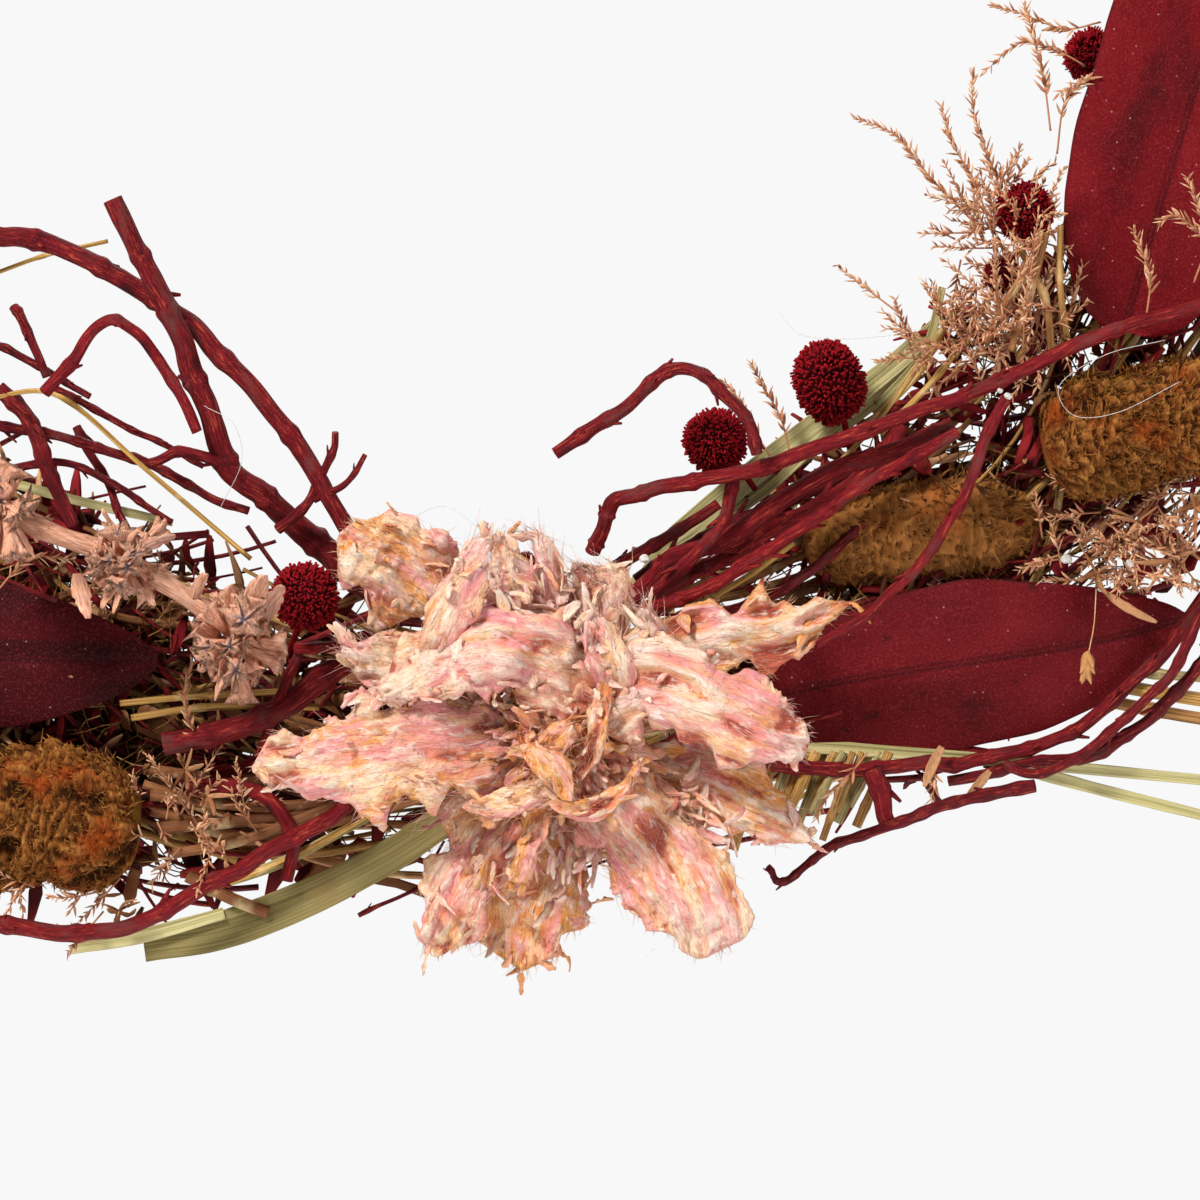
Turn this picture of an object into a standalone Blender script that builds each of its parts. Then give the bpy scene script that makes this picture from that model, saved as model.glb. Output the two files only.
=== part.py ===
"""Harvest door wreath: dried stems, leaves, cones and one large flower on two cane hoops.

The ring stands in the XZ plane. The door is at +Y and the viewer at -Y. The origin is
the place where the door hook bears, at the top of the inside of the hanging loop.
Places on the ring are written as (right, up, out) in millimetres: right and up from the
ring's centre, and out from the hoops towards the viewer. Everything is laid up in layers
from the hoops outwards, as it is when the pieces are glued and wired on one by one.
"""
import bpy
import bmesh
from math import cos, pi, radians, sin
from mathutils import Vector

MM = 0.001

# Driving dimensions, in millimetres.
OUTER_HOOP_RADIUS = 250.0
INNER_HOOP_RADIUS = 230.0
CANE_RADIUS = 4.5
WIRE_RADIUS = 0.8
RUNNING_GAP = 0.6
EYE_RADIUS = 9.0
LOOP_RISE = 35.0
TIE_ANGLES = (40.0, 140.0, 220.0, 332.0)
STRAW_OUT = 17.0
STRAW_RADIUS = 9.0
STRAW_RING_RADIUS = 240.0
LEAF_THICKNESS = 1.0
PETAL_THICKNESS = 3.0
PETAL_LAYER_STEP = 8.0
FLOWER_PLACE = (36.5, -233.0)
FLOWER_CORE_RADIUS = 8.0
FLOWER_BACK = 30.0
FLOWER_FIRST_LAYER = 54.0

# Worked out from them.
RING_DROP = OUTER_HOOP_RADIUS + LOOP_RISE
FLOWER_FRONT = FLOWER_FIRST_LAYER + 4 * PETAL_LAYER_STEP

# Straw bundles: first and last angle round the ring, anticlockwise from the right.
STRAW_ARCS = {
    "straw_bundle_bottom": (262.0, 303.0),
    "straw_bundle_right": (338.0, 380.0),
    "straw_bundle_upper_right": (397.0, 436.0),
    "straw_bundle_upper_left": (104.0, 137.0),
    "straw_bundle_left": (160.0, 222.0),
}

# Twigs: radius at the butt and at the tip, then the route.
TWIGS = {
    "twig_arch": (3.1, 2.6, ((-205, -140, 50), (-190, -118, 52), (-165, -102, 54), (-140, -96, 55),
                             (-116, -98, 55), (-89, -108, 54), (-63.5, -124, 53), (-38, -152, 52),
                             (-20, -181, 50))),
    "twig_thick_cut": (2.7, 4.2, ((-84, -90, 66), (-76, -108, 64), (-67.5, -125, 60), (-61, -141.5, 54),
                                  (-54, -159, 48), (-47, -168.5, 44), (-35, -178.5, 40), (-22, -189, 36),
                                  (-8, -199.5, 34))),
    "twig_bent": (1.8, 1.6, ((-103, -141.5, 58), (-96, -133, 60), (-89, -125, 61), (-84, -121.5, 62),
                             (-78, -125, 61), (-72, -133, 60), (-66, -143, 59), (-62, -152, 58))),
    "twig_to_flower": (3.5, 3.3, ((-72, -236, 46), (-57, -232.5, 45), (-40.5, -225, 44), (-24, -216, 43),
                                  (-12, -208, 42))),
    "twig_forked_down": (2.5, 1.9, ((-66, -248, 40), (-54, -248, 40), (-45, -249.5, 40), (-40, -255, 40),
                                    (-37, -264, 40), (-39, -273, 40))),
    "twig_lower_left": (2.6, 2.3, ((-198, -232, 50), (-172, -256, 50), (-142, -276, 50), (-116, -284, 50),
                                   (-84, -285, 49), (-58, -273, 48), (-32, -259, 46), (-20, -249.5, 45))),
    "twig_hook": (2.0, 1.7, ((34, -158, 66), (46, -150, 67), (57, -142, 68), (65, -136.5, 68),
                             (73, -137, 68), (81, -143, 67), (86, -150, 66), (88, -158, 65))),
    "twig_long": (2.3, 1.9, ((44, -184, 48), (47, -177, 52), (53.5, -169, 56), (73, -165, 59),
                             (94.5, -160, 60), (135, -145.5, 60), (150, -139, 61), (181, -126, 62),
                             (208, -118, 62), (240, -104, 60))),
    "twig_bundle": (2.9, 2.6, ((53, -198, 46), (67.5, -186, 49), (84, -177, 51), (105, -164, 52),
                               (127, -156, 52), (141, -150, 52))),
    "twig_crossing": (1.7, 1.5, ((154, -143, 78), (147, -156, 78), (142, -170, 76), (134, -183, 73),
                                 (126, -192, 70), (119, -200, 67))),
    "twig_under_leaf": (2.2, 1.8, ((92, -241.5, 46), (113, -243, 46), (138, -241, 46), (155, -239, 45),
                                   (175.5, -231, 44), (196, -214, 42), (212, -192, 42))),
    "twig_curled_tip": (1.9, 0.9, ((163, -247, 52), (143, -251, 53), (127, -256, 54), (111, -262, 55),
                                   (102, -269, 55), (95, -272, 54), (91, -268.5, 54))),
    "twig_right_side": (2.8, 2.0, ((262, -72, 36), (268, -30, 40), (262, 14, 42), (246, 52, 40))),
    "twig_upper_right": (3.0, 2.0, ((254, 84, 56), (228, 134, 57), (182, 180, 50), (124, 218, 41))),
    "twig_top_left": (3.0, 2.2, ((-94, 222, 40), (-136, 204, 46), (-178, 170, 54), (-214, 120, 58))),
    "twig_left_side": (3.0, 2.2, ((-246, 74, 38), (-264, 26, 42), (-266, -26, 42), (-252, -72, 40))),
}

# Leaves: greatest width, then the route of the midrib from stalk to tip.
LEAVES = {
    "leaf_right": (44.0, ((84, -226, 34), (112, -219, 36), (140, -215, 37), (172, -211, 36),
                          (206, -202, 32))),
    "leaf_upper_right": (54.0, ((189, -124, 33), (199, -88, 36), (210, -50, 37), (222, -12, 36),
                                (234, 26, 32))),
    "leaf_left": (39.0, ((-198, -196, 32), (-170, -207, 35), (-140, -212, 37), (-106, -213, 36),
                         (-74, -213, 34))),
    "leaf_right_top": (48.0, ((204, 148, 32), (184, 170, 35), (156, 192, 36), (122, 208, 32))),
    "leaf_top": (42.0, ((104, 220, 32), (76, 232, 35), (46, 238, 35), (14, 240, 32))),
    "leaf_left_top": (50.0, ((-92, 222, 32), (-122, 206, 35), (-150, 184, 36), (-174, 157, 32))),
}

# Strap blades: width, then the route.
BLADES = {
    "blade_lower_left": (13.0, ((-73, -289, 34), (-54, -286, 35), (-35, -278, 36), (-13.5, -268, 36),
                                (5, -256, 34))),
    "blade_right": (7.0, ((57, -189, 30), (75, -173, 31), (94.5, -157, 31), (116, -141, 30),
                          (134, -126, 29))),
}

# Cones of brown fibre: greatest radius, then the axis.
CONES = {
    "cone_left": (22.0, ((-80, -256, 38), (-100, -257, 38), (-126, -256, 38), (-152, -249, 36))),
    "cone_middle": (15.0, ((102, -181, 23), (122, -178.5, 23), (144, -177, 23), (166, -177, 22))),
    "cone_right": (18.5, ((166, -156, 52), (182, -152, 52), (200, -149, 51), (218, -145, 49))),
    "cone_upper_right": (17.0, ((236, 84, 32), (229, 100, 33), (221, 116, 33), (210, 130, 32))),
    "cone_upper_left": (18.0, ((-198, 152, 32), (-209, 137, 33), (-218, 120, 33), (-225, 102, 32))),
}

# Ball flowers: radius, stretch along the stem, then head and foot of the stem.
BALLS = {
    "ball_flower_left": (9.0, 1.0, (-33, -196, 58), (-40, -214, 32)),
    "ball_flower_middle": (8.6, 1.0, (77, -154, 46), (88, -167, 38)),
    "ball_flower_egg": (10.0, 1.22, (108, -138, 44), (114, -156, 30)),
    "ball_flower_spiky": (7.5, 1.0, (181, -48, 18), (192, -72, 14)),
    "ball_flower_right": (8.0, 1.0, (161, -92, 40), (166, -116, 34)),
    "ball_flower_upper_left": (8.5, 1.0, (-154, 208, 52), (-161, 197, 41)),
}

# Petals: direction round the flower, length, greatest width, layer from the back.
PETALS = {
    "petal_upper_left": (138.0, 80.0, 36.0, 0),
    "petal_upper_right": (25.0, 84.0, 30.0, 0),
    "petal_lower": (258.0, 63.0, 34.0, 0),
    "petal_right_point": (338.0, 72.0, 36.0, 1),
    "petal_lower_left": (239.0, 68.0, 38.0, 1),
    "petal_top_left": (109.0, 54.0, 30.0, 1),
    "petal_lower_right": (302.0, 69.0, 38.0, 2),
    "petal_left": (187.0, 82.0, 40.0, 2),
    "petal_right_round": (0.0, 65.0, 38.0, 3),
    "petal_folded": (148.0, 56.0, 44.0, 3),
}

SEED_HEAD_ROUTE = ((-116, -171, 68), (-103, -178, 69), (-84, -185, 70), (-65, -195.5, 70),
                   (-50, -207, 69), (-47, -216, 68))
SPIKELET_PIVOT = (180.0, -194.0, 47.0)
SPIKELET_LENGTH = 27.0


def place(right, up, out):
    """A place in metres in the part's frame, from millimetres about the ring's centre."""
    return Vector((right, -out, up - RING_DROP)) * MM


def on_ring(radius, angle, out):
    """A place on a circle round the ring's centre, angle in degrees anticlockwise from the right."""
    return place(radius * cos(radians(angle)), radius * sin(radians(angle)), out)


def finish_of(name, colour, roughness, metallic=0.0):
    """A Principled material."""
    material = bpy.data.materials.get(name) or bpy.data.materials.new(name)
    material.use_nodes = True
    shader = material.node_tree.nodes["Principled BSDF"]
    shader.inputs["Base Color"].default_value = (*colour, 1.0)
    shader.inputs["Roughness"].default_value = roughness
    shader.inputs["Metallic"].default_value = metallic
    return material


def cane_finish():
    return finish_of("cane", (0.28, 0.15, 0.07), 0.75)


def wire_finish():
    return finish_of("florist_wire", (0.16, 0.17, 0.14), 0.45, 1.0)


def straw_finish():
    return finish_of("straw", (0.60, 0.36, 0.12), 0.8)


def bark_finish():
    return finish_of("dyed_bark", (0.20, 0.01, 0.015), 0.7)


def leaf_finish():
    return finish_of("burgundy_leaf", (0.13, 0.008, 0.012), 0.35)


def blade_finish():
    return finish_of("olive_blade", (0.26, 0.22, 0.08), 0.6)


def cone_finish():
    return finish_of("brown_fibre", (0.24, 0.10, 0.02), 0.95)


def ball_finish():
    return finish_of("red_floret", (0.26, 0.005, 0.015), 0.9)


def petal_finish():
    return finish_of("cream_pink_petal", (0.80, 0.55, 0.45), 0.85)


def seed_head_finish():
    return finish_of("tan_calyx", (0.48, 0.28, 0.22), 0.85)


def spikelet_finish():
    return finish_of("grass_seed", (0.62, 0.33, 0.15), 0.8)


def smooth_route(points, count, closed=False):
    """Count points at even parameters along the Catmull-Rom curve through the points."""
    points = [Vector(point) for point in points]
    spans = len(points) if closed else len(points) - 1
    steps = count if closed else count - 1
    route = []
    for step in range(count):
        along = step * spans / steps
        first = min(int(along), spans - 1)
        t = along - first
        if closed:
            a, b, c, d = (points[(first + shift) % len(points)] for shift in (-1, 0, 1, 2))
        else:
            b = points[first]
            c = points[first + 1]
            a = points[first - 1] if first else 2 * b - c
            d = points[first + 2] if first + 2 <= spans else 2 * c - b
        route.append(b + 0.5 * t * (c - a + t * (2 * a - 5 * b + 4 * c - d
                                                 + t * (3 * (b - c) + d - a))))
    return route


def spindle(name, route, radii, material, closed=False, roundness=1):
    """A round bar along a route, with its own radius in millimetres at every point."""
    curve = bpy.data.curves.new(name, "CURVE")
    curve.dimensions = "3D"
    curve.bevel_depth = MM
    curve.bevel_resolution = roundness
    curve.use_fill_caps = True
    spline = curve.splines.new("POLY")
    spline.points.add(len(route) - 1)
    for point, where, radius in zip(spline.points, route, radii):
        point.co = (*where, 1.0)
        point.radius = radius
    spline.use_cyclic_u = closed
    curve.materials.append(material)
    bar = bpy.data.objects.new(name, curve)
    bpy.context.collection.objects.link(bar)
    return bar


def tapered(first, last, count):
    """Radii that run evenly from one value to another."""
    return [first + (last - first) * step / (count - 1) for step in range(count)]


def bulged(radius, count, foot=0.45, head=0.4):
    """Radii of a rounded body: foot and head are the shares left at its two ends."""
    radii = []
    for step in range(count):
        t = step / (count - 1)
        end = foot + (head - foot) * t
        radii.append(radius * (end + (1 - end) * sin(pi * t) ** 0.6))
    return radii


def sheet(name, route, half_widths, thickness, material, fold=0.0, columns=4):
    """A thin sheet along a midline, folded forwards along it, and given its thickness."""
    mesh = bpy.data.meshes.new(name)
    shape = bmesh.new()
    rows = []
    for step, (where, half_width) in enumerate(zip(route, half_widths)):
        ahead = route[min(step + 1, len(route) - 1)] - route[max(step - 1, 0)]
        sideways = Vector((-ahead.z, 0.0, ahead.x)).normalized()
        row = []
        for column in range(columns + 1):
            s = 2 * column / columns - 1
            lift = Vector((0.0, -fold * abs(s) * half_width * MM, 0.0))
            row.append(shape.verts.new(where + sideways * (s * half_width * MM) + lift))
        rows.append(row)
    for near, far in zip(rows, rows[1:]):
        for column in range(columns):
            shape.faces.new((near[column], near[column + 1], far[column + 1], far[column]))
    bmesh.ops.recalc_face_normals(shape, faces=shape.faces)
    shape.to_mesh(mesh)
    shape.free()
    mesh.shade_smooth()
    mesh.materials.append(material)
    piece = bpy.data.objects.new(name, mesh)
    bpy.context.collection.objects.link(piece)
    skin = piece.modifiers.new("thickness", "SOLIDIFY")
    skin.thickness = thickness * MM
    skin.offset = 0.0
    return piece


def make_hoop(name, radius, points=52):
    """A bent cane closed on itself."""
    route = [on_ring(radius, 360.0 * step / points, 0.0) for step in range(points)]
    spindle(name, route, [CANE_RADIUS] * points, cane_finish(), closed=True)


def make_tie(name, angle):
    """A turn of florist wire round both hoops."""
    out = CANE_RADIUS + RUNNING_GAP + WIRE_RADIUS
    low = INNER_HOOP_RADIUS - out
    high = OUTER_HOOP_RADIUS + out
    slack = CANE_RADIUS
    corners = ((low, 0), (low + slack / 3, out * 0.8), (low + slack * 1.3, out), (high - slack * 1.3, out),
               (high - slack / 3, out * 0.8), (high, 0), (high - slack / 3, -out * 0.8),
               (high - slack * 1.3, -out), (low + slack * 1.3, -out), (low + slack / 3, -out * 0.8))
    route = [on_ring(radius, angle, side) for radius, side in corners]
    spindle(name, smooth_route(route, 20, closed=True), [WIRE_RADIUS] * 20, wire_finish(), closed=True)


def make_hanging_loop():
    """A wire wrapped once under the outer hoop, crossed above it and opened into an eye."""
    wrap = CANE_RADIUS + RUNNING_GAP + WIRE_RADIUS
    neck = WIRE_RADIUS * 1.6
    eye_up = LOOP_RISE - EYE_RADIUS + WIRE_RADIUS
    outline = [(0, wrap, 1.5), (0, wrap * 0.75, -wrap * 0.75), (0, 0, -wrap), (0, -wrap * 0.75, -wrap * 0.75),
               (0, -wrap, 1.5), (-0.4, -wrap * 0.8, 6), (-neck, 0, 12.5)]
    for step in range(13):
        turn = radians(-125 - 290 * step / 12)
        outline.append((EYE_RADIUS * cos(turn), 0, eye_up + EYE_RADIUS * sin(turn)))
    outline += [(neck, 0, 12.5), (0.4, wrap * 0.8, 6)]
    pivot = place(0, OUTER_HOOP_RADIUS, 0)
    route = [Vector((right, -out, up)) * MM for right, out, up in outline]
    axis = bpy.data.objects.new("hanging_loop_axis", None)
    axis.location = pivot
    bpy.context.collection.objects.link(axis)
    count = 44
    loop = spindle("hanging_loop", smooth_route(route, count, closed=True), [WIRE_RADIUS] * count,
                   wire_finish(), closed=True)
    loop.parent = axis


def make_straw_bundle(name, first, last):
    """A roll of straw laid along the hoops, thinner where its ends are cut."""
    count = 9
    angles = [first + (last - first) * step / (count - 1) for step in range(count)]
    route = [on_ring(STRAW_RING_RADIUS, angle, STRAW_OUT) for angle in angles]
    spindle(name, route, bulged(STRAW_RADIUS, count, 0.6, 0.6), straw_finish(), roundness=2)


def make_twig(name, butt, tip, points):
    """A dyed twig, thicker at the butt than at the tip."""
    count = 2 * len(points)
    route = smooth_route([place(*point) for point in points], count)
    spindle(name, route, tapered(butt, tip, count), bark_finish())


def make_leaf(name, width, points):
    """A long leathery leaf folded slightly along its midrib."""
    count = 10
    route = smooth_route([place(*point) for point in points], count)
    halves = []
    for step in range(count):
        t = step / (count - 1)
        halves.append(width / 2 * max(0.06, sin(pi * t ** 0.92) ** 0.7))
    sheet(name, route, halves, LEAF_THICKNESS, leaf_finish(), fold=0.12)


def make_blade(name, width, points):
    """A dry strap blade of even width with a blunt tip."""
    count = 8
    route = smooth_route([place(*point) for point in points], count)
    halves = [width / 2] * (count - 1) + [width / 4]
    sheet(name, route, halves, LEAF_THICKNESS, blade_finish(), fold=0.2, columns=2)


def make_cone(name, radius, points):
    """A fibrous cone, blunt at both ends."""
    count = 9
    route = smooth_route([place(*point) for point in points], count)
    spindle(name, route, bulged(radius, count, 0.5, 0.4), cone_finish(), roundness=3)


def make_ball(name, radius, stretch, head, foot):
    """A round flower head with its stem, in one piece."""
    centre = place(*head)
    stem = place(*foot) - centre
    down = stem.normalized()
    half = radius * stretch * MM
    route = []
    radii = []
    for step in range(7):
        turn = radians(8 + 152 * step / 6)
        route.append(centre - down * (half * cos(turn)))
        radii.append(radius * sin(turn))
    for share in (1.2, 1.6):
        route.append(centre + down * (half * share))
        radii.append(1.0)
    route.append(centre + stem)
    radii.append(1.0)
    spindle(name, route, radii, ball_finish(), roundness=2)


def make_flower_core():
    """The woody receptacle that all the petals are fixed round."""
    outs = (FLOWER_BACK, FLOWER_BACK + 4, FLOWER_FRONT - 6, FLOWER_FRONT)
    route = [place(*FLOWER_PLACE, out) for out in outs]
    radii = [FLOWER_CORE_RADIUS * share for share in (0.7, 1.0, 1.0, 0.6)]
    spindle("flower_core", route, radii, petal_finish(), roundness=3)


def make_petal(name, direction, length, width, layer):
    """A thick petal from the core outwards, rising towards its tip by the same slope as the rest."""
    count = 8
    start = FLOWER_CORE_RADIUS + 1.5
    turn = radians(direction)
    right, up = FLOWER_PLACE
    route = []
    halves = []
    for step in range(count):
        t = step / (count - 1)
        reach = start + (length - start) * t
        out = FLOWER_FIRST_LAYER + layer * PETAL_LAYER_STEP + 0.1 * (reach - start)
        route.append(place(right + reach * cos(turn), up + reach * sin(turn), out))
        halves.append(max(width / 2 * sin(pi * (0.12 + 0.8 * t)) ** 0.8, 2.5))
    halves[0] = min(halves[0], 3.5)
    sheet(name, route, halves, PETAL_THICKNESS, petal_finish(), columns=3)


def make_seed_head():
    """A stem with three whorls of calyces, in one piece."""
    count = 22
    route = smooth_route([place(*point) for point in SEED_HEAD_ROUTE], count)
    whorls = {2: 11.0, 3: 12.0, 9: 13.0, 10: 13.0, 17: 14.0, 18: 13.0}
    radii = [whorls.get(step, 2.5) for step in range(count)]
    spindle("seed_head", route, radii, seed_head_finish(), roundness=2)


def make_spikelet():
    """A grass spikelet hanging from its thread; its axis is the top of the thread."""
    axis = bpy.data.objects.new("dangling_spikelet_axis", None)
    axis.location = place(*SPIKELET_PIVOT)
    bpy.context.collection.objects.link(axis)
    shares = (0.0, 0.3, 0.55, 0.62, 0.75, 0.9, 1.0)
    radii = (0.5, 0.5, 0.5, 1.6, 2.4, 1.6, 0.3)
    route = [Vector((-0.16 * share, 0.0, -share)) * SPIKELET_LENGTH * MM for share in shares]
    hanging = spindle("dangling_spikelet", route, radii, spikelet_finish())
    hanging.parent = axis


def build():
    for thing in list(bpy.data.objects):
        bpy.data.objects.remove(thing, do_unlink=True)
    make_hoop("base_hoop_outer", OUTER_HOOP_RADIUS)
    make_hoop("base_hoop_inner", INNER_HOOP_RADIUS)
    for number, angle in enumerate(TIE_ANGLES, 1):
        make_tie(f"wire_tie_{number}", angle)
    make_hanging_loop()
    for name, (first, last) in STRAW_ARCS.items():
        make_straw_bundle(name, first, last)
    for name, (width, points) in LEAVES.items():
        make_leaf(name, width, points)
    for name, (width, points) in BLADES.items():
        make_blade(name, width, points)
    for name, (radius, points) in CONES.items():
        make_cone(name, radius, points)
    for name, (butt, tip, points) in TWIGS.items():
        make_twig(name, butt, tip, points)
    for name, (radius, stretch, head, foot) in BALLS.items():
        make_ball(name, radius, stretch, head, foot)
    make_flower_core()
    for name, (direction, length, width, layer) in PETALS.items():
        make_petal(name, direction, length, width, layer)
    make_seed_head()
    make_spikelet()


build()
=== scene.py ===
"""Harvest door wreath: dried stems, leaves, cones and one large flower on two cane hoops.

Sizes are in millimetres and places are (right, up, out): right and up from the ring's centre,
and out from the hoops towards the viewer. The wreath hangs from a door hook by its wire loop.
"""

from math import pi

import bpy
import numpy as np
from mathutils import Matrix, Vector


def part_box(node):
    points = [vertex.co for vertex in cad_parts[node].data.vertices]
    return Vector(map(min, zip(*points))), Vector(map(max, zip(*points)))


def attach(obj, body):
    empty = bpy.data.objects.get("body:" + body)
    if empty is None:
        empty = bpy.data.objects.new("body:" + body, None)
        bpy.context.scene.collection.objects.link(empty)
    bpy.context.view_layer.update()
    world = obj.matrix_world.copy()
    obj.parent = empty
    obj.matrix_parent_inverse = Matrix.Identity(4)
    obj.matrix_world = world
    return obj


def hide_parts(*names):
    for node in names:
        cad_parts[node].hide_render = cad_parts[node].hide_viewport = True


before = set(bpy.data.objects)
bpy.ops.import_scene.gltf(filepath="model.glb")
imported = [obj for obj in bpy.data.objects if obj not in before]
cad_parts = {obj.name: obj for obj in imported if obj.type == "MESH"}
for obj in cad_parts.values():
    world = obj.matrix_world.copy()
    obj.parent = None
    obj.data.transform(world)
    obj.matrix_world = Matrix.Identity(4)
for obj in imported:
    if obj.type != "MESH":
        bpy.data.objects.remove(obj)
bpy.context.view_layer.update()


# ---- The ring's own measures, read from the two hoops of the frame.
MM = 0.001
hoop_low, hoop_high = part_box("base_hoop_outer")
inner_low, inner_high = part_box("base_hoop_inner")
CANE_RADIUS = (hoop_high.y - hoop_low.y) / 2 / MM
OUTER_HOOP_RADIUS = (hoop_high.x - hoop_low.x) / 2 / MM - CANE_RADIUS
INNER_HOOP_RADIUS = (inner_high.x - inner_low.x) / 2 / MM - CANE_RADIUS
RING_CENTRE = (hoop_high.z + hoop_low.z) / 2
MID_RADIUS = (OUTER_HOOP_RADIUS + INNER_HOOP_RADIUS) / 2


def metres(places):
    """(right, up, out) in millimetres about the ring's centre, as metres in the part's frame."""
    places = np.asarray(places, float)
    return np.stack([places[..., 0] * MM, -places[..., 2] * MM, places[..., 1] * MM + RING_CENTRE], -1)


def corners(node):
    """The corners of a CAD node as (right, up, out) in millimetres."""
    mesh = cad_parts[node].data
    found = np.empty(len(mesh.vertices) * 3)
    mesh.vertices.foreach_get("co", found)
    found = found.reshape(-1, 3)
    return np.stack([found[:, 0], found[:, 2] - RING_CENTRE, -found[:, 1]], -1) / MM


# ---- Camera, light and floor.
# A long lens square on to the lower part of the ring, soft white light from the upper left and
# from all round, and a pale floor far below, where the wreath would drop if it fell.
VIEW_CENTRE = (46.0, -197.0, 45.0)
VIEW_WIDTH = 324.0
LENS = 200.0
SENSOR = 36.0

camera = bpy.data.objects.new("camera", bpy.data.cameras.new("camera"))
camera.data.lens = LENS
camera.data.sensor_width = SENSOR
camera.data.clip_start = 0.05
camera.data.clip_end = 40.0
camera.location = Vector(metres(VIEW_CENTRE)) - Vector((0.0, VIEW_WIDTH * MM * LENS / SENSOR, 0.0))
camera.rotation_euler = (pi / 2, 0.0, 0.0)
bpy.context.collection.objects.link(camera)
bpy.context.scene.camera = camera


def soft_light(name, place, width, power, colour):
    """A square soft box that looks at the middle of the view."""
    lamp = bpy.data.lights.new(name, "AREA")
    lamp.size = width
    lamp.energy = power
    lamp.color = colour
    box = bpy.data.objects.new(name, lamp)
    box.location = place
    aim = Vector(metres(VIEW_CENTRE)) - box.location
    box.rotation_euler = aim.to_track_quat("-Z", "Y").to_euler()
    bpy.context.collection.objects.link(box)


soft_light("key_upper_left", (-1.1, -1.5, 1.0), 0.55, 68.0, (1.0, 0.975, 0.94))
soft_light("fill_right", (1.6, -1.4, -0.3), 1.2, 15.0, (1.0, 0.985, 0.97))
soft_light("rim_behind", (0.3, 1.5, 0.8), 1.4, 14.0, (1.0, 1.0, 1.0))


def studio_world(seen, strength):
    """A pale surround for the eye, and a dimmer one that lights the wreath evenly."""
    world = bpy.data.worlds.new("studio")
    world.use_nodes = True
    bpy.context.scene.world = world
    nodes, links = world.node_tree.nodes, world.node_tree.links
    lighting = nodes["Background"]
    lighting.inputs["Color"].default_value = (1.0, 0.985, 0.97, 1.0)
    lighting.inputs["Strength"].default_value = strength
    backdrop = nodes.new("ShaderNodeBackground")
    backdrop.inputs["Color"].default_value = (seen, seen, seen, 1.0)
    choice = nodes.new("ShaderNodeMixShader")
    links.new(nodes.new("ShaderNodeLightPath").outputs["Is Camera Ray"], choice.inputs[0])
    links.new(lighting.outputs[0], choice.inputs[1])
    links.new(backdrop.outputs[0], choice.inputs[2])
    links.new(choice.outputs[0], nodes["World Output"].inputs["Surface"])


studio_world(0.94, 0.21)
bpy.context.scene.view_settings.view_transform = "Standard"

floor_mesh = bpy.data.meshes.new("floor")
floor_mesh.from_pydata([(-3, -3, -1.35), (3, -3, -1.35), (3, 3, -1.35), (-3, 3, -1.35)], [], [(0, 1, 2, 3)])
floor = bpy.data.objects.new("floor", floor_mesh)
floor_paint = bpy.data.materials.new("floor_paint")
floor_paint.use_nodes = True
for label, value in (("Base Color", (0.45, 0.45, 0.45, 1.0)), ("Roughness", 0.9),
                     ("Emission Color", (0.9, 0.9, 0.9, 1.0)), ("Emission Strength", 0.85)):
    floor_paint.node_tree.nodes["Principled BSDF"].inputs[label].default_value = value
floor_mesh.materials.append(floor_paint)
bpy.context.collection.objects.link(floor)


# ---- Cane hoops.
# Two bent canes, one inside the other, that everything else is wired or glued to. Split and
# dried willow with its bark left on, so it is ribbed along its length and knotted at its nodes.
def lattice(places, cell, seed):
    """Smooth noise from -1 to 1: random values on a cubic lattice, blended by smoothed shares."""
    table = np.random.default_rng(seed).uniform(-1.0, 1.0, 4096)
    scaled = np.asarray(places, float) / cell
    base = np.floor(scaled).astype(np.int64)
    share = scaled - base
    share = share * share * (3 - 2 * share)
    total = 0.0
    for corner in range(8):
        step = np.array([corner & 1, corner >> 1 & 1, corner >> 2 & 1])
        weight = np.prod(np.where(step, share, 1 - share), -1)
        spot = (base + step) @ np.array([73856093, 19349663, 83492791])
        total = total + weight * table[np.bitwise_and(spot ^ (spot >> 13), 4095)]
    return total


def drift(places, cell, seed, layers=3):
    """Noise with finer noise added to it: each layer has half the cell and half the strength."""
    return sum(lattice(places, cell / 2 ** n, seed + n) / 2 ** n for n in range(layers))


def smooth_route(points, count, closed=False):
    """Count places on the Catmull-Rom curve through the points, at even parameters."""
    points = np.asarray(points, float)
    spans = len(points) if closed else len(points) - 1
    along = np.linspace(0, spans, count, endpoint=not closed)
    first = np.minimum(along.astype(int), spans - 1)
    t = (along - first)[:, None]
    if closed:
        a, b, c, d = (points[(first + shift) % len(points)] for shift in (-1, 0, 1, 2))
    else:
        padded = np.vstack([2 * points[0] - points[1], points, 2 * points[-1] - points[-2]])
        a, b, c, d = (padded[first + shift] for shift in (0, 1, 2, 3))
    return b + 0.5 * t * (c - a + t * (2 * a - 5 * b + 4 * c - d + t * (3 * (b - c) + d - a)))


def circle(count):
    """Even turns round a circle, in radians."""
    return np.linspace(0, 2 * pi, count, endpoint=False)


def rays(turn):
    """Directions in the ring's plane, from their turns."""
    return np.stack([np.cos(turn), np.sin(turn), 0 * turn], -1)


def unit(vectors):
    """Vectors with a length of one."""
    return vectors / np.maximum(np.linalg.norm(vectors, axis=-1, keepdims=True), 1e-9)


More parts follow.
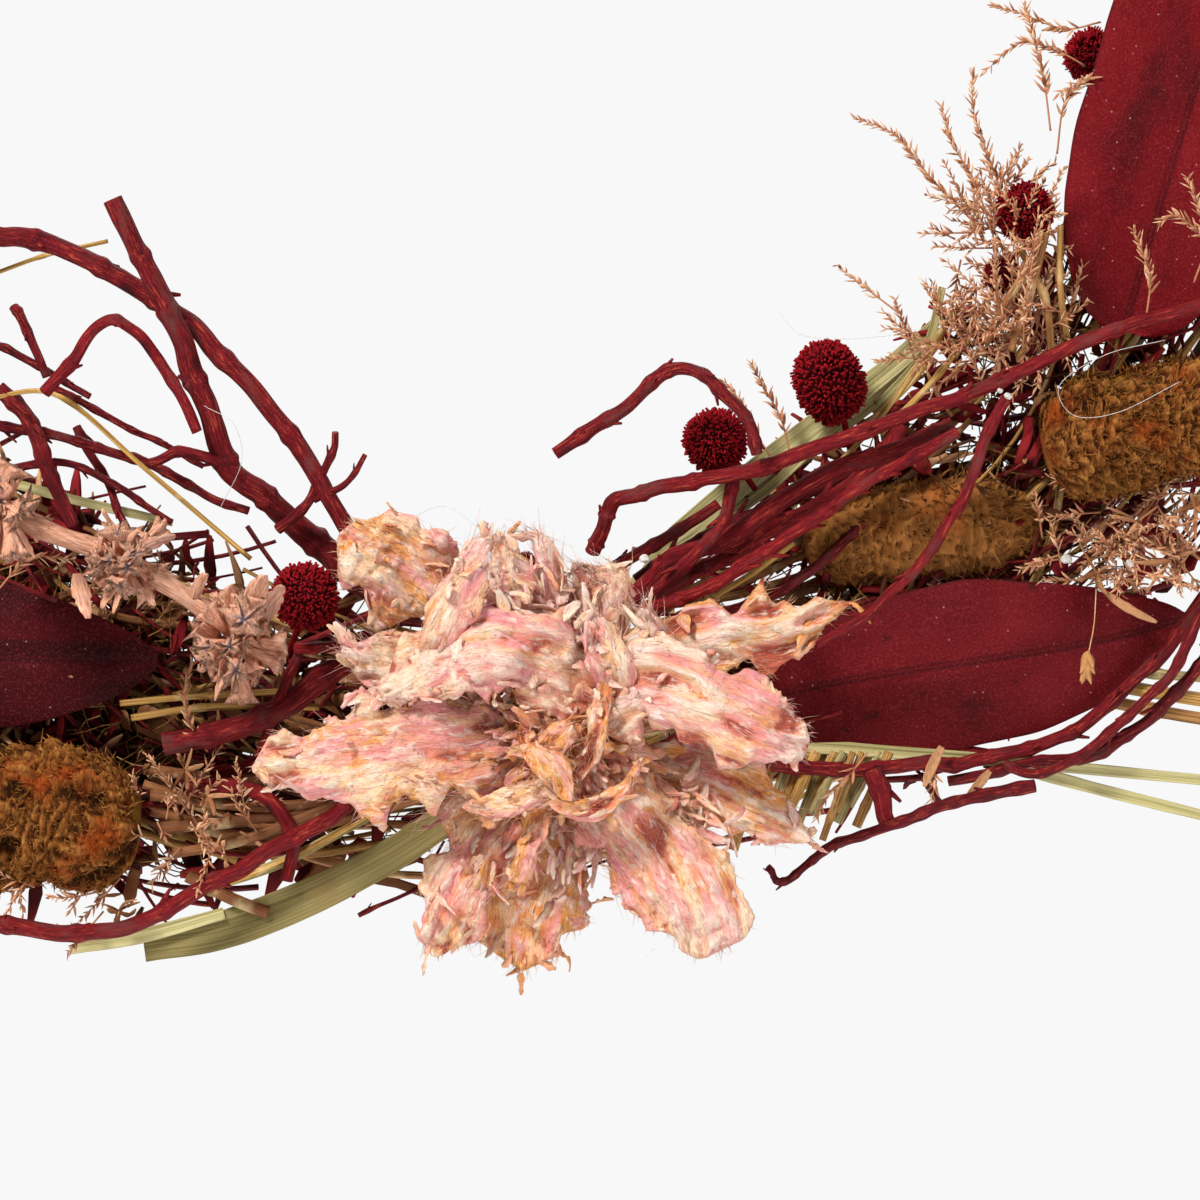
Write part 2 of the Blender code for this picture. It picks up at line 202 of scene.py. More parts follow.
def loft(centre, across, rise, hint=(0.0, 0.0, 1.0), shade=0.5, edge=0.0, closed=False, start=None,
         sunk=0.0, cut=None):
    """A skin from a profile carried along a path, or many skins from many paths at once.

    A point is centre + side * across + lift * rise. Lift is the hint made square to the path, and
    side is square to both. Each end is closed by a fan, unless the path is closed on itself; the
    fan's middle can be sunk by some millimetres, and cut is its value of edge.
    The skin carries two values for its finish: grain, its place on the straightened-out piece in
    millimetres, and tone, which is (share along, shade of this piece, edge).
    """
    centre = np.asarray(centre, float)
    if centre.ndim == 2:
        centre = centre[None]
    many, rows = centre.shape[:2]
    if closed:
        tangent = unit(np.roll(centre, -1, 1) - np.roll(centre, 1, 1))
    else:
        tangent = unit(np.gradient(centre, axis=1))
    hint = np.broadcast_to(np.asarray(hint, float), centre.shape)
    lift = unit(hint - tangent * np.sum(hint * tangent, -1, keepdims=True))
    side = np.cross(lift, tangent)
    columns = np.shape(across)[-1]
    across = np.broadcast_to(across, (many, rows, columns))
    rise = np.broadcast_to(rise, (many, rows, columns))
    places = centre[:, :, None] + side[:, :, None] * across[..., None] + lift[:, :, None] * rise[..., None]
    step = np.linalg.norm(np.diff(centre, axis=1), axis=-1)
    length = np.concatenate([np.zeros((many, 1)), np.cumsum(step, 1)], 1)
    shift = np.arange(many) * 37.0 if start is None else np.full(many, start)
    grain = np.stack([np.broadcast_to((length + shift[:, None])[..., None], across.shape), across, rise], -1)
    share = np.broadcast_to(np.linspace(0, 1, rows)[None, :, None], across.shape)
    shade = np.broadcast_to(np.reshape(shade, (-1, 1, 1)), across.shape)
    tone = np.stack([share, shade, np.broadcast_to(edge, across.shape)], -1)

    ring = np.arange(rows * columns).reshape(rows, columns)
    near = ring if closed else ring[:-1]
    far = np.roll(ring, -1, 0) if closed else ring[1:]
    quads = np.stack([near, np.roll(near, -1, 1), np.roll(far, -1, 1), far], -1).reshape(-1, 4)
    size = rows * columns
    flat = [values.reshape(many, size, 3) for values in (places, grain, tone)]
    fans = np.empty((0, 3), int)
    if not closed:
        poles = [np.stack([values[:, 0].mean(1), values[:, -1].mean(1)], 1)
                 for values in (places, grain, tone)]
        poles[0] += np.stack([tangent[:, 0], -tangent[:, -1]], 1) * np.reshape(sunk, (-1, 1, 1))
        if cut is not None:
            poles[2][..., 2] = cut
        flat = [np.concatenate([values, ends], 1) for values, ends in zip(flat, poles)]
        first, last = ring[0], ring[-1]
        fans = np.concatenate([
            np.stack([np.full(columns, size), np.roll(first, -1), first], -1),
            np.stack([np.full(columns, size + 1), last, np.roll(last, -1)], -1)])
        size += 2
    offsets = np.arange(many)[:, None, None] * size
    return (*(values.reshape(-1, 3) for values in flat),
            (quads[None] + offsets).reshape(-1, 4), (fans[None] + offsets).reshape(-1, 3))


def tube(route, radius, sides=10, **more):
    """A round bar: across is r cos(turn) and rise is r sin(turn), with r for each row or point."""
    turn = circle(sides)
    radius = np.asarray(radius, float)
    if radius.shape[-1:] != (sides,) or radius.ndim < 2:
        radius = np.broadcast_to(radius, np.shape(route)[:-1])[..., None] * np.ones(sides)
    return loft(route, radius * np.cos(turn), radius * np.sin(turn), **more)


def joined(skins):
    """Several skins as one, with the later ones' corners counted on from the earlier ones'."""
    totals = np.cumsum([0] + [len(skin[0]) for skin in skins])
    values = [np.concatenate([skin[part] for skin in skins]) for part in range(3)]
    faces = [np.concatenate([skin[part] + total for skin, total in zip(skins, totals)]) for part in (3, 4)]
    return (*values, *faces)


def make_piece(name, skins, finish, body="wreath", stands_for=()):
    """A mesh object from skins, with its finish, riding on a body and standing for CAD nodes."""
    places, grain, tone, quads, fans = joined(skins)
    mesh = bpy.data.meshes.new(name)
    mesh.vertices.add(len(places))
    mesh.vertices.foreach_set("co", metres(places).ravel())
    mesh.loops.add(quads.size + fans.size)
    mesh.loops.foreach_set("vertex_index", np.concatenate([quads.ravel(), fans.ravel()]).astype(np.int32))
    starts = np.concatenate([np.arange(len(quads)) * 4, quads.size + np.arange(len(fans)) * 3])
    mesh.polygons.add(len(starts))
    mesh.polygons.foreach_set("loop_start", starts.astype(np.int32))
    mesh.polygons.foreach_set("use_smooth", np.ones(len(starts), bool))
    mesh.update(calc_edges=True)
    for label, values in (("grain", grain), ("tone", tone)):
        layer = mesh.attributes.new(label, "FLOAT_VECTOR", "POINT")
        layer.data.foreach_set("vector", values.astype(np.float32).ravel())
    mesh.materials.append(finish)
    piece = bpy.data.objects.new(name, mesh)
    bpy.context.collection.objects.link(piece)
    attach(piece, body)
    if stands_for:
        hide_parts(*stands_for)
    return piece


def dye(code):
    """A colour written as six hexadecimal digits, as the linear colour that shaders take."""
    values = np.array([int(code[place:place + 2], 16) / 255 for place in (0, 2, 4)])
    linear = np.where(values <= 0.04045, values / 12.92, ((values + 0.055) / 1.055) ** 2.4)
    return (*linear, 1.0)


class Finish:
    """A Principled material under construction, with short calls for the nodes that feed it."""

    def __init__(self, name, roughness=0.7, specular=0.3, **fixed):
        self.material = bpy.data.materials.new(name)
        self.material.use_nodes = True
        self.shader = self.material.node_tree.nodes["Principled BSDF"]
        self.shader.inputs["Roughness"].default_value = roughness
        self.shader.inputs["Specular IOR Level"].default_value = specular
        for label, value in fixed.items():
            self.shader.inputs[label.replace("_", " ").title()].default_value = value

    def add(self, kind, inputs, **settings):
        """A node of this kind, with values or links put into its numbered or named inputs."""
        made = self.material.node_tree.nodes.new("ShaderNode" + kind)
        for label, value in settings.items():
            setattr(made, label, value)
        for socket, value in inputs.items():
            if isinstance(value, bpy.types.NodeSocket):
                self.material.node_tree.links.new(value, made.inputs[socket])
            else:
                made.inputs[socket].default_value = value
        return made

    def value(self, label):
        """One of the mesh's own values as a vector: grain or tone."""
        return self.add("Attribute", {}, attribute_name=label).outputs["Vector"]

    def part(self, vector, axis):
        """One axis of a vector."""
        return self.add("SeparateXYZ", {0: vector}).outputs[axis]

    def scaled(self, vector, *factors):
        """A vector times a factor for each of its axes, or times one factor."""
        factors = factors if len(factors) == 3 else factors * 3
        return self.add("VectorMath", {0: vector, 1: factors}, operation="MULTIPLY").outputs[0]

    def place(self):
        """The place on the piece in millimetres, for skins of tiny fibres."""
        return self.scaled(self.add("TexCoord", {}).outputs["Object"], 1000.0)

    def noise(self, vector, scale, stretch=(1, 1, 1), detail=4.0, rough=0.55, twist=0.0):
        """Noise over a vector in millimetres: scale is how many features there are in one."""
        scaled = self.scaled(vector, *(scale * axis for axis in stretch))
        return self.add("TexNoise", {"Vector": scaled, "Scale": 1.0, "Detail": detail, "Roughness": rough,
                                     "Distortion": twist}).outputs["Fac"]

    def ramp(self, share, *stops):
        """Colours at places from 0 to 1, as (place, code) pairs."""
        made = self.add("ValToRGB", {0: share})
        points = made.color_ramp.elements
        while len(points) < len(stops):
            points.new(0.5)
        for point, (place, code) in zip(points, stops):
            point.position = place
            point.color = dye(code) if isinstance(code, str) else (code, code, code, 1.0)
        return made.outputs["Color"]

    def step(self, value, low, high):
        """0 below low, 1 above high, and even in between."""
        return self.add("MapRange", {"Value": value, "From Min": low, "From Max": high}).outputs["Result"]

    def mix(self, share, under, over):
        """Two colours, mixed by a share."""
        made = self.add("Mix", {0: share}, data_type="RGBA")
        for socket, value in ((6, under), (7, over)):
            if isinstance(value, str):
                made.inputs[socket].default_value = dye(value)
            else:
                self.material.node_tree.links.new(value, made.inputs[socket])
        return made.outputs[2]

    def sum(self, first, second, operation="ADD"):
        """Two numbers added, or joined by another operation."""
        return self.add("Math", {0: first, 1: second}, operation=operation).outputs[0]

    def times(self, first, second):
        """Two numbers multiplied."""
        return self.sum(first, second, "MULTIPLY")

    def tint(self, colour, over, value, low, high, share=1.0):
        """The colour, mixed by a share towards another one as a value goes from low to high."""
        amount = self.step(value, low, high)
        return self.mix(amount if share == 1.0 else self.times(amount, share), colour, over)

    def bump(self, height, depth, under=None):
        """A bump of this depth in millimetres from a height from 0 to 1, over another bump."""
        made = self.add("Bump", {"Height": height, "Distance": depth * MM})
        if under is not None:
            self.material.node_tree.links.new(under, made.inputs["Normal"])
        return made.outputs[0]

    def use(self, **sockets):
        """Links into the shader's sockets, which ends the material."""
        for label, value in sockets.items():
            self.material.node_tree.links.new(value, self.shader.inputs[label.replace("_", " ").title()])
        return self.material


def cane_finish():
    """Brown bark, ribbed along the cane, with grey scuffs and pale worn ridges."""
    finish = Finish("cane", specular=0.25)
    grain = finish.value("grain")
    ribs = finish.noise(grain, 1.0, (0.06, 1.3, 1.3), 5.0)
    patches = finish.noise(grain, 0.05, detail=5.0)
    colour = finish.ramp(ribs, (0.25, "33200F"), (0.5, "6B4628"), (0.75, "9A7148"))
    colour = finish.tint(colour, "8E7B62", patches, 0.52, 0.7)
    return finish.use(Base_Color=colour, Roughness=finish.step(ribs, -0.6, 1.3),
                      Normal=finish.bump(ribs, 0.8))


def make_hoop(name, radius, knots, seed):
    """A cane whose radius swells at its knots and whose line wanders by about a millimetre."""
    rows, sides = 420, 14
    turn = circle(rows)
    line = rays(turn)
    wander = np.stack([drift(line * 60, 22, seed), drift(line * 60, 22, seed + 9)], -1)
    route = line * (radius + 0.7 * wander[:, :1])
    route[:, 2] += 0.7 * wander[:, 1]
    gap = np.mod(turn / (2 * pi) * knots + 0.17 * np.sin(5 * turn), 1) - 0.5
    thick = CANE_RADIUS * (0.86 + 0.13 * np.exp(-(gap * 14) ** 2))
    ribbed = 1 + 0.035 * np.sin(7 * circle(sides) + 3 * turn[:, None])
    skin = tube(route, thick[:, None] * ribbed, sides, closed=True)
    return make_piece(name + "_cane", [skin], cane_bark, stands_for=[name])


cane_bark = cane_finish()
make_hoop("base_hoop_outer", OUTER_HOOP_RADIUS, 13, 3)
make_hoop("base_hoop_inner", INNER_HOOP_RADIUS, 11, 8)


# ---- Wire ties and hanging loop.
# Annealed florist wire. Each tie is a closed turn round both canes, twisted off at the back.
# The loop is wrapped once round the top of the outer cane, so it turns there, and opens into an eye.
WIRE_RADIUS = 0.8
LOOP_BODY = "hanger"


def wire_finish():
    """Dull dark green-grey steel with fine draw marks and brown specks of rust."""
    finish = Finish("florist_wire", metallic=0.85, specular=0.5)
    grain = finish.value("grain")
    marks = finish.noise(grain, 1.0, (0.2, 6.0, 6.0), 3.0)
    rust = finish.step(finish.noise(grain, 0.35, detail=6.0), 0.58, 0.7)
    colour = finish.mix(rust, finish.ramp(marks, (0.3, "3A3B34"), (0.7, "7B7C70")), "5B3A22")
    return finish.use(Base_Color=colour, Roughness=finish.step(marks, -0.6, 1.4),
                      Normal=finish.bump(marks, 0.08))


def make_tie(number):
    """A rounded oblong turn of wire, as its CAD node, with a twisted tail standing out behind."""
    found = corners(f"wire_tie_{number}")
    middle = found.mean(0)
    ray = unit(middle * (1, 1, 0))
    reach = found @ ray
    low, high = reach.min() + WIRE_RADIUS, reach.max() - WIRE_RADIUS
    deep = found[:, 2].max() - WIRE_RADIUS
    turn = circle(72)
    bow = np.stack([np.cos(turn), np.sin(turn)], -1)
    bow = np.sign(bow) * np.abs(bow) ** 0.45
    route = ray * ((low + high) / 2 + bow[:, :1] * (high - low) / 2)
    route[:, 2] += bow[:, 1] * deep
    cross = np.cross(ray, (0, 0, 1))
    skins = [tube(route, WIRE_RADIUS * 0.95, 8, hint=cross, closed=True)]
    for phase in (0, pi):
        share = np.linspace(0, 1, 60)
        coil = share[:, None] * 5 * 2 * pi + phase
        tail = ray * ((low + high) / 2) + (cross * np.cos(coil) + ray * np.sin(coil)) * WIRE_RADIUS * 0.8
        tail[:, 2] += -deep - share * 4.5
        skins.append(tube(tail, WIRE_RADIUS * 0.7, 8, hint=cross))
    make_piece(f"wire_tie_{number}_turn", skins, wire, stands_for=[f"wire_tie_{number}"])


def make_hanging_loop():
    """The wire's line: half a turn under the cane, both strands up to the neck, then round the eye."""
    low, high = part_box("hanging_loop")
    eye = (high.x - low.x) / 2 / MM - WIRE_RADIUS
    top = (high.z - RING_CENTRE) / MM - WIRE_RADIUS - eye - OUTER_HOOP_RADIUS
    wrap = (high.y - low.y) / 2 / MM - WIRE_RADIUS
    neck = WIRE_RADIUS * 1.6
    outline = [(0, 1.5, wrap), (0, -wrap * 0.75, wrap * 0.75), (0, -wrap, 0), (0, -wrap * 0.75, -wrap * 0.75),
               (0, 1.5, -wrap), (-0.4, 6, -wrap * 0.8), (-neck, 12.5, 0)]
    turn = np.radians(-125 - 290 * np.arange(13) / 12)
    outline += list(np.stack([eye * np.cos(turn), top + eye * np.sin(turn), 0 * turn], -1))
    outline += [(neck, 12.5, 0), (0.4, 6, wrap * 0.8)]
    route = smooth_route(outline, 260, closed=True) + (0, OUTER_HOOP_RADIUS, 0)
    skin = tube(route, WIRE_RADIUS, 10, hint=(0.94, 0.2, 0.28), closed=True)
    return make_piece("hanging_loop_wire", [skin], wire, LOOP_BODY, ["hanging_loop"])


wire = wire_finish()
for number in (1, 2, 3, 4):
    make_tie(number)
make_hanging_loop()


# ---- Straw bundles.
# Cut wheat straw and split stalks laid along the canes in overlapping rolls, so that the stems
# have something to be pushed and glued into. Each straw is hollow, ribbed and jointed.
STRAW_BUNDLES = ("bottom", "right", "upper_right", "upper_left", "left")
STRAW_OUT = 17.0
STRAWS_IN_A_BUNDLE = 74


def straw_finish():
    """Golden, tan, brown and khaki stalks: the shade picks the colour, ribs darken it, and each sunk mouth is
    painted shade.
    """
    finish = Finish("straw", roughness=0.6, specular=0.2)
    grain, tone = finish.value("grain"), finish.value("tone")
    colour = finish.ramp(finish.part(tone, 1), (0.0, "A09660"), (0.2, "D6C48E"), (0.4, "E0B05E"),
                         (0.6, "CC9A58"), (0.8, "B0744A"), (1.0, "8A5434"))
    ribs = finish.noise(grain, 1.0, (0.04, 3.2, 3.2), 4.0)
    stain = finish.noise(grain, 0.09, detail=5.0)
    colour = finish.tint(colour, "5A3A1C", ribs, 0.62, 0.3)
    colour = finish.tint(colour, "E2CB96", stain, 0.55, 0.75)
    # Painted shade: the sunk mouths at the cut ends are darkened as the shadow inside the hollow stalk.
    colour = finish.tint(colour, "3B2412", finish.part(tone, 2), 0.3, 1.0)
    return finish.use(Base_Color=colour, Roughness=finish.step(ribs, -0.9, 1.4),
                      Normal=finish.bump(ribs, 0.3))


def straw_skins(routes, radius, shade, seed, sides=7):
    """Hollow stalks along (many, rows, 3) routes: the radius swells at a joint and ends in a sunk mouth."""
    rng = np.random.default_rng(seed)
    many, rows = routes.shape[:2]
    share = np.linspace(0, 1, rows)
    joint = rng.uniform(0.15, 0.85, (many, 1))
    swell = 1 + 0.3 * np.exp(-((share - joint) * 26) ** 2)
    turn = circle(sides)
    flat = rng.uniform(0.6, 1.0, (many, 1, 1))
    girth = (np.asarray(radius)[:, None] * swell)[..., None]
    return loft(routes, girth * np.cos(turn), girth * np.sin(turn) * flat, shade=shade, sunk=1.6, cut=1.0)


def ring_routes(first, last, many, spread, out, seed, rows=14, reach=(0.35, 0.8), radius=MID_RADIUS):
    """Routes that follow the ring between two angles, each drifting at its own place in the roll."""
    rng = np.random.default_rng(seed)
    span = last - first
    length = rng.uniform(*reach, many) * span
    start = first + rng.uniform(-0.06, 1.06, many) * (span - length)
    turn = np.radians(start[:, None] + length[:, None] * np.linspace(0, 1, rows))
    spot = rng.normal(0, 0.5, (many, 2)) * spread
    lean = rng.normal(0, 0.35, (many, 2)) * spread
    share = np.linspace(-0.5, 0.5, rows)
    reach_out = radius + spot[:, :1] + lean[:, :1] * share
    height = out + spot[:, 1:] * 0.5 + lean[:, 1:] * 0.5 * share
    return np.stack([reach_out * np.cos(turn), reach_out * np.sin(turn), height], -1)


def angles_of(node):
    """The first and last angle of a CAD node round the ring, in degrees, anticlockwise."""
    found = corners(node)
    middle = np.degrees(np.arctan2(*found.mean(0)[[1, 0]]))
    turn = np.degrees(np.arctan2(found[:, 1], found[:, 0])) - middle
    turn = (turn + 180) % 360 - 180 + middle
    return turn.min(), turn.max()


straw = straw_finish()
for number, name in enumerate(STRAW_BUNDLES):
    first, last = angles_of("straw_bundle_" + name)
    rng = np.random.default_rng(40 + number)
    routes = ring_routes(first, last, STRAWS_IN_A_BUNDLE, 8.5, STRAW_OUT, 50 + number)
    skin = straw_skins(routes, rng.uniform(0.7, 1.7, STRAWS_IN_A_BUNDLE),
                       rng.uniform(0, 1, STRAWS_IN_A_BUNDLE), number)
    make_piece(f"straw_roll_{name}", [skin], straw, stands_for=["straw_bundle_" + name])


# ---- Long leaves.
# Preserved eucalyptus leaves, dyed and waxed dark burgundy. They are leathery and glossy, folded
# a little along a fine midrib, with wavy margins, faint side veins, scuffs and specks of dust.
def spine_of(node, rows, start, degree=4):
    """A CAD node's middle line: polynomials fitted to its corners along its longest direction."""
    found = corners(node)
    middle = found.mean(0)
    axis = np.linalg.svd(found - middle, full_matrices=False)[2][0]
    axis = axis * np.sign((middle - np.asarray(start)) @ axis)
    along = (found - middle) @ axis
    places = np.linspace(along.min(), along.max(), rows)
    fitted = [np.polyval(np.polyfit(along, found[:, part], degree), places) for part in range(3)]
    return np.stack(fitted, -1)


def leaf_finish(name, blade, blotch, back, streak=0.0):
    """Waxed leaf: its dye is uneven, darker along the midrib, with veins, dust and leathery pores that carry
    painted sheen and shade.
    """
    finish = Finish(name, specular=0.08, coat_weight=0.03, coat_roughness=0.2)
    grain, tone = finish.value("grain"), finish.value("tone")
    across = finish.part(grain, 1)
    cloud = finish.noise(grain, 0.035, (0.7, 1.4, 1.0), 5.0)
    colour = finish.tint(blade, blotch, cloud, 0.5, 0.66)
    colour = finish.tint(colour, back, cloud, 0.44, 0.3)
    rib = finish.add("Math", {0: across}, operation="ABSOLUTE").outputs[0]
    side = finish.step(across, 2.0 + streak, 1.0 + streak)
    dark = finish.sum(finish.step(rib, 0.75, 0.2), finish.times(side, finish.step(across, 0.5, 1.2)),
                      "MAXIMUM")
    colour = finish.mix(finish.times(dark, 0.6), colour, "1C0406")
    spots = finish.noise(grain, 0.13, detail=2.0)
    colour = finish.tint(colour, "2A0608", spots, 0.68, 0.76, 0.65)
    vein = finish.add("TexWave", {"Vector": finish.scaled(grain, 0.09, 0.07, 0.0), "Scale": 0.75,
                                  "Distortion": 1.3, "Detail": 2.0}).outputs["Fac"]
    pores = finish.noise(grain, 1.7, detail=4.0)
    # Painted sheen and shade: the pores are lightened and darkened to stand in for light on the leathery
    # relief.
    colour = finish.tint(colour, "A03A40", pores, 0.52, 0.68, 0.28)
    colour = finish.tint(colour, "220406", pores, 0.46, 0.34, 0.3)
    dust = finish.add("TexVoronoi", {"Vector": finish.scaled(grain, 0.42), "Scale": 1.0})
    fleck = finish.times(finish.step(dust.outputs["Distance"], 0.13, 0.05),
                         finish.step(finish.part(dust.outputs["Color"], 0), 0.72, 0.8))
    colour = finish.mix(finish.times(fleck, 0.5), colour, "D8A89A")
    edge = finish.step(finish.part(tone, 2), 0.9, 1.0)
    colour = finish.mix(finish.times(edge, 0.6), colour, "2B0708")
    shine = finish.add("MapRange", {"Value": finish.sum(cloud, finish.times(pores, 0.5)), "From Min": 0.4,
                                    "From Max": 1.1, "To Min": 0.3, "To Max": 0.52}).outputs["Result"]
    under = finish.bump(pores, 0.3)
    return finish.use(Base_Color=colour, Roughness=shine, Normal=finish.bump(vein, 0.05, under=under))


def leaf_skin(spine, width, seed, fold=0.1, wave=1.6, curl=3.0, thick=0.5, point=0.92, blunt=0.7,
              columns=64):
    """A leaf: a lens-shaped profile carried along the midrib.

    Across is half the width times cos(turn). Rise is the fold, a wave that grows towards the margin,
    a groove at the midrib and half the thickness times sin(turn). The half width is a power of
    sin(pi t^point), with a slow wave along each margin.
    """
    rows = len(spine)
    share = np.linspace(0, 1, rows)[:, None]
    turn = circle(columns)[None]
    u = np.cos(turn)
    half = width / 2 * np.clip(np.sin(pi * np.clip(share, 0.004, 0.996) ** point), 0, 1) ** blunt
    along = np.linspace(0, 100, rows)[:, None]
    margin = np.stack(np.broadcast_arrays(along, np.sign(u) * 40.0, 0.0), -1)
    half = half * (1 + 0.05 * drift(margin, 26, seed)) + 0.35
    sheet = np.stack(np.broadcast_arrays(along, u * 30.0, 7.0), -1)
    ruffle = drift(sheet, 30, seed + 5) * wave * np.abs(u) ** 1.5
    bend = curl * np.sin(pi * share) * u ** 2
    groove = -0.35 * np.exp(-(half * u / 0.7) ** 2) * np.sign(np.sin(turn) + 1e-9)
    rise = fold * half * np.abs(u) + ruffle - bend + groove + thick / 2 * np.sin(turn)
    return loft(spine, half * u, rise, start=seed * 91.0, edge=np.abs(u) ** 3, shade=0.5)


LEAVES = {
    # name: stalk end, width, fold, finish
    "leaf_right": ((84, -226, 34), 44.0, 0.08, "crimson_leaf"),
    "leaf_upper_right": ((189, -124, 33), 58.0, 0.12, "red_leaf"),
    "leaf_left": ((-198, -196, 32), 43.0, 0.10, "dark_leaf"),
    "leaf_right_top": ((204, 148, 32), 48.0, 0.12, "crimson_leaf"),
    "leaf_top": ((104, 220, 32), 42.0, 0.12, "dark_leaf"),
    "leaf_left_top": ((-92, 222, 32), 50.0, 0.12, "red_leaf"),
}
leaf_finishes = {
    "crimson_leaf": leaf_finish("crimson_leaf", "5F0C12", "6C141A", "430609"),
    "red_leaf": leaf_finish("red_leaf", "680810", "78101A", "46050B"),
    "dark_leaf": leaf_finish("dark_leaf", "3C0408", "46060C", "200204", streak=4.0),
}
for number, (name, (stalk, width, fold, kind)) in enumerate(LEAVES.items()):
    spine = spine_of(name, 150, stalk)
    skin = leaf_skin(spine, width, 60 + number, fold, blunt=0.36 if name == "leaf_upper_right" else 0.62)
    make_piece(name + "_blade", [skin], leaf_finishes[kind], stands_for=[name])


# ---- Strap blades.
# Dry ribbed flax and grass blades, olive and khaki, cut off blunt and slipped under the twigs.
def strap_finish():
    """Ribbed along its length, from olive to khaki by its shade, with brown blotches."""
    finish = Finish("strap_blade", roughness=0.55, specular=0.2)
    grain, tone = finish.value("grain"), finish.value("tone")
    ribs = finish.noise(grain, 1.0, (0.02, 2.0, 1.0), 4.0)
    cloud = finish.noise(grain, 0.04, (0.5, 1.5, 1.0), 5.0)
    pale = finish.ramp(ribs, (0.3, "8E8450"), (0.5, "B9AF78"), (0.72, "D8CFA0"))
    olive = finish.ramp(ribs, (0.3, "6A5C2E"), (0.5, "7E7040"), (0.72, "968854"))
    colour = finish.mix(finish.part(tone, 1), olive, pale)
    colour = finish.tint(colour, "8A6A3A", cloud, 0.56, 0.75)
    return finish.use(Base_Color=colour, Normal=finish.bump(ribs, 0.35))


def strap_skin(route, half, shade, seed, fold=0.25, rows=90, columns=40, thick=0.5):
    """A ribbed strap folded along its middle: rise is the fold, fine ribs and half the thickness."""
    route = smooth_route(route, rows)
    share = np.linspace(0, 1, rows)[:, None]
    turn = circle(columns)[None]
    u = np.cos(turn)
    wander = drift(np.stack([share * 90, 0 * share, 0 * share], -1), 20, seed)
    width = half * (1 - 0.25 * share ** 2) * (1 + 0.04 * wander)
    twist = 0.5 * half * np.sin(share * 3 + seed) * u * 0.3
    width = width * np.where(u > 0, np.clip(share * 7 + 0.05, 0, 1), 1)
    rise = fold * width * np.abs(u) + 0.08 * np.cos(9 * pi * u) + thick / 2 * np.sin(turn) + twist
    return loft(route, width * u, rise, shade=shade, start=seed * 77.0)


strap = strap_finish()
olive_route = ((-78, -290, 34), (-58, -287, 35), (-35, -278.5, 36), (-12, -267, 36), (5, -256, 34))
khaki_route = spine_of("blade_right", 12, (57, -189, 30))
make_piece("blade_lower_left_strap", [strap_skin(olive_route, 5.4, 0.1, 3, 0.12)], strap,
           stands_for=["blade_lower_left"])
make_piece("blade_right_strap",
           [strap_skin(khaki_route, 3.6, 0.9, 4),
            strap_skin(khaki_route + (2, -4, -2), 2.4, 0.7, 5),
            strap_skin(khaki_route[2:] + (4, 5, -3), 1.8, 1.0, 6)],
           strap, stands_for=["blade_right"])


# ---- Fibrous cones.
# Dried banksia cones: a woody core packed with matted brown fibre that is golden at its tips, with
# rust-orange hollows where seed pods have opened. Cut or broken ends show packed fibre.
def cone_finish():
    """Fibre: dark at the root, partly as painted shade, golden at the tip, with patches of rust and olive,
    and painted shade in hollows and gaps.
    """
    finish = Finish("brown_fibre", roughness=0.9, specular=0.05)
    tone = finish.value("tone")
    place = finish.place()
    patch = finish.noise(place, 0.06, detail=5.0)
    fine = finish.noise(place, 1.3, (1.0, 1.0, 0.4), 6.0, 0.7)
    # Painted shade: the share along runs from a fibre's root to its tip, and on the body it is the height of
    # the tufts, so roots, pits and the hollows between tufts take the darkest colours.
    colour = finish.ramp(finish.part(tone, 0), (0.0, "3A1C0C"), (0.3, "7E461E"), (0.7, "B4743A"),
                         (1.0, "D89C50"))
    colour = finish.tint(colour, "A84A1C", patch, 0.55, 0.68)
    colour = finish.tint(colour, "8A6426", patch, 0.42, 0.3)
    # Painted light: a cone with a high brightness is lighter and more golden, a lighter copy of the fibre
    # that stands in for light on the middle cone.
    shade = finish.part(tone, 1)
    colour = finish.tint(colour, "3A220C", shade, 0.5, 0.0, 0.7)
    # Painted shade in the gaps of the fine fibre and painted highlight on its tops, following its bump.
    colour = finish.tint(colour, "3E240E", fine, 0.52, 0.34, 0.75)
    colour = finish.tint(colour, "D8A650", fine, 0.56, 0.7, 0.6)
    colour = finish.tint(colour, "CE8A4C", shade, 0.9, 1.0, 0.7)
    return finish.use(Base_Color=colour, Normal=finish.bump(fine, 1.2))


def strands(roots, directions, bends, length, radius, shade, rows=4, sides=3, tip=0.15, hint=(0.3, 0.2, 0.9)):
    """Many tapering fibres: a place is root + direction * length * u + bend * length * u^2."""
    u = np.linspace(0, 1, rows)[None, :, None]
    length = np.reshape(length, (-1, 1, 1))
    bends = np.broadcast_to(bends, np.shape(roots))
    route = roots[:, None] + unit(directions)[:, None] * length * u + bends[:, None] * length * u ** 2
    taper = (1 - (1 - tip) * np.linspace(0, 1, rows) ** 1.5)[None, :, None]
    turn = circle(sides)
    girth = np.broadcast_to(np.reshape(radius, (-1, 1, 1)), (len(roots), 1, 1)) * taper
    return loft(route, girth * np.cos(turn), girth * np.sin(turn), hint=hint, shade=shade)


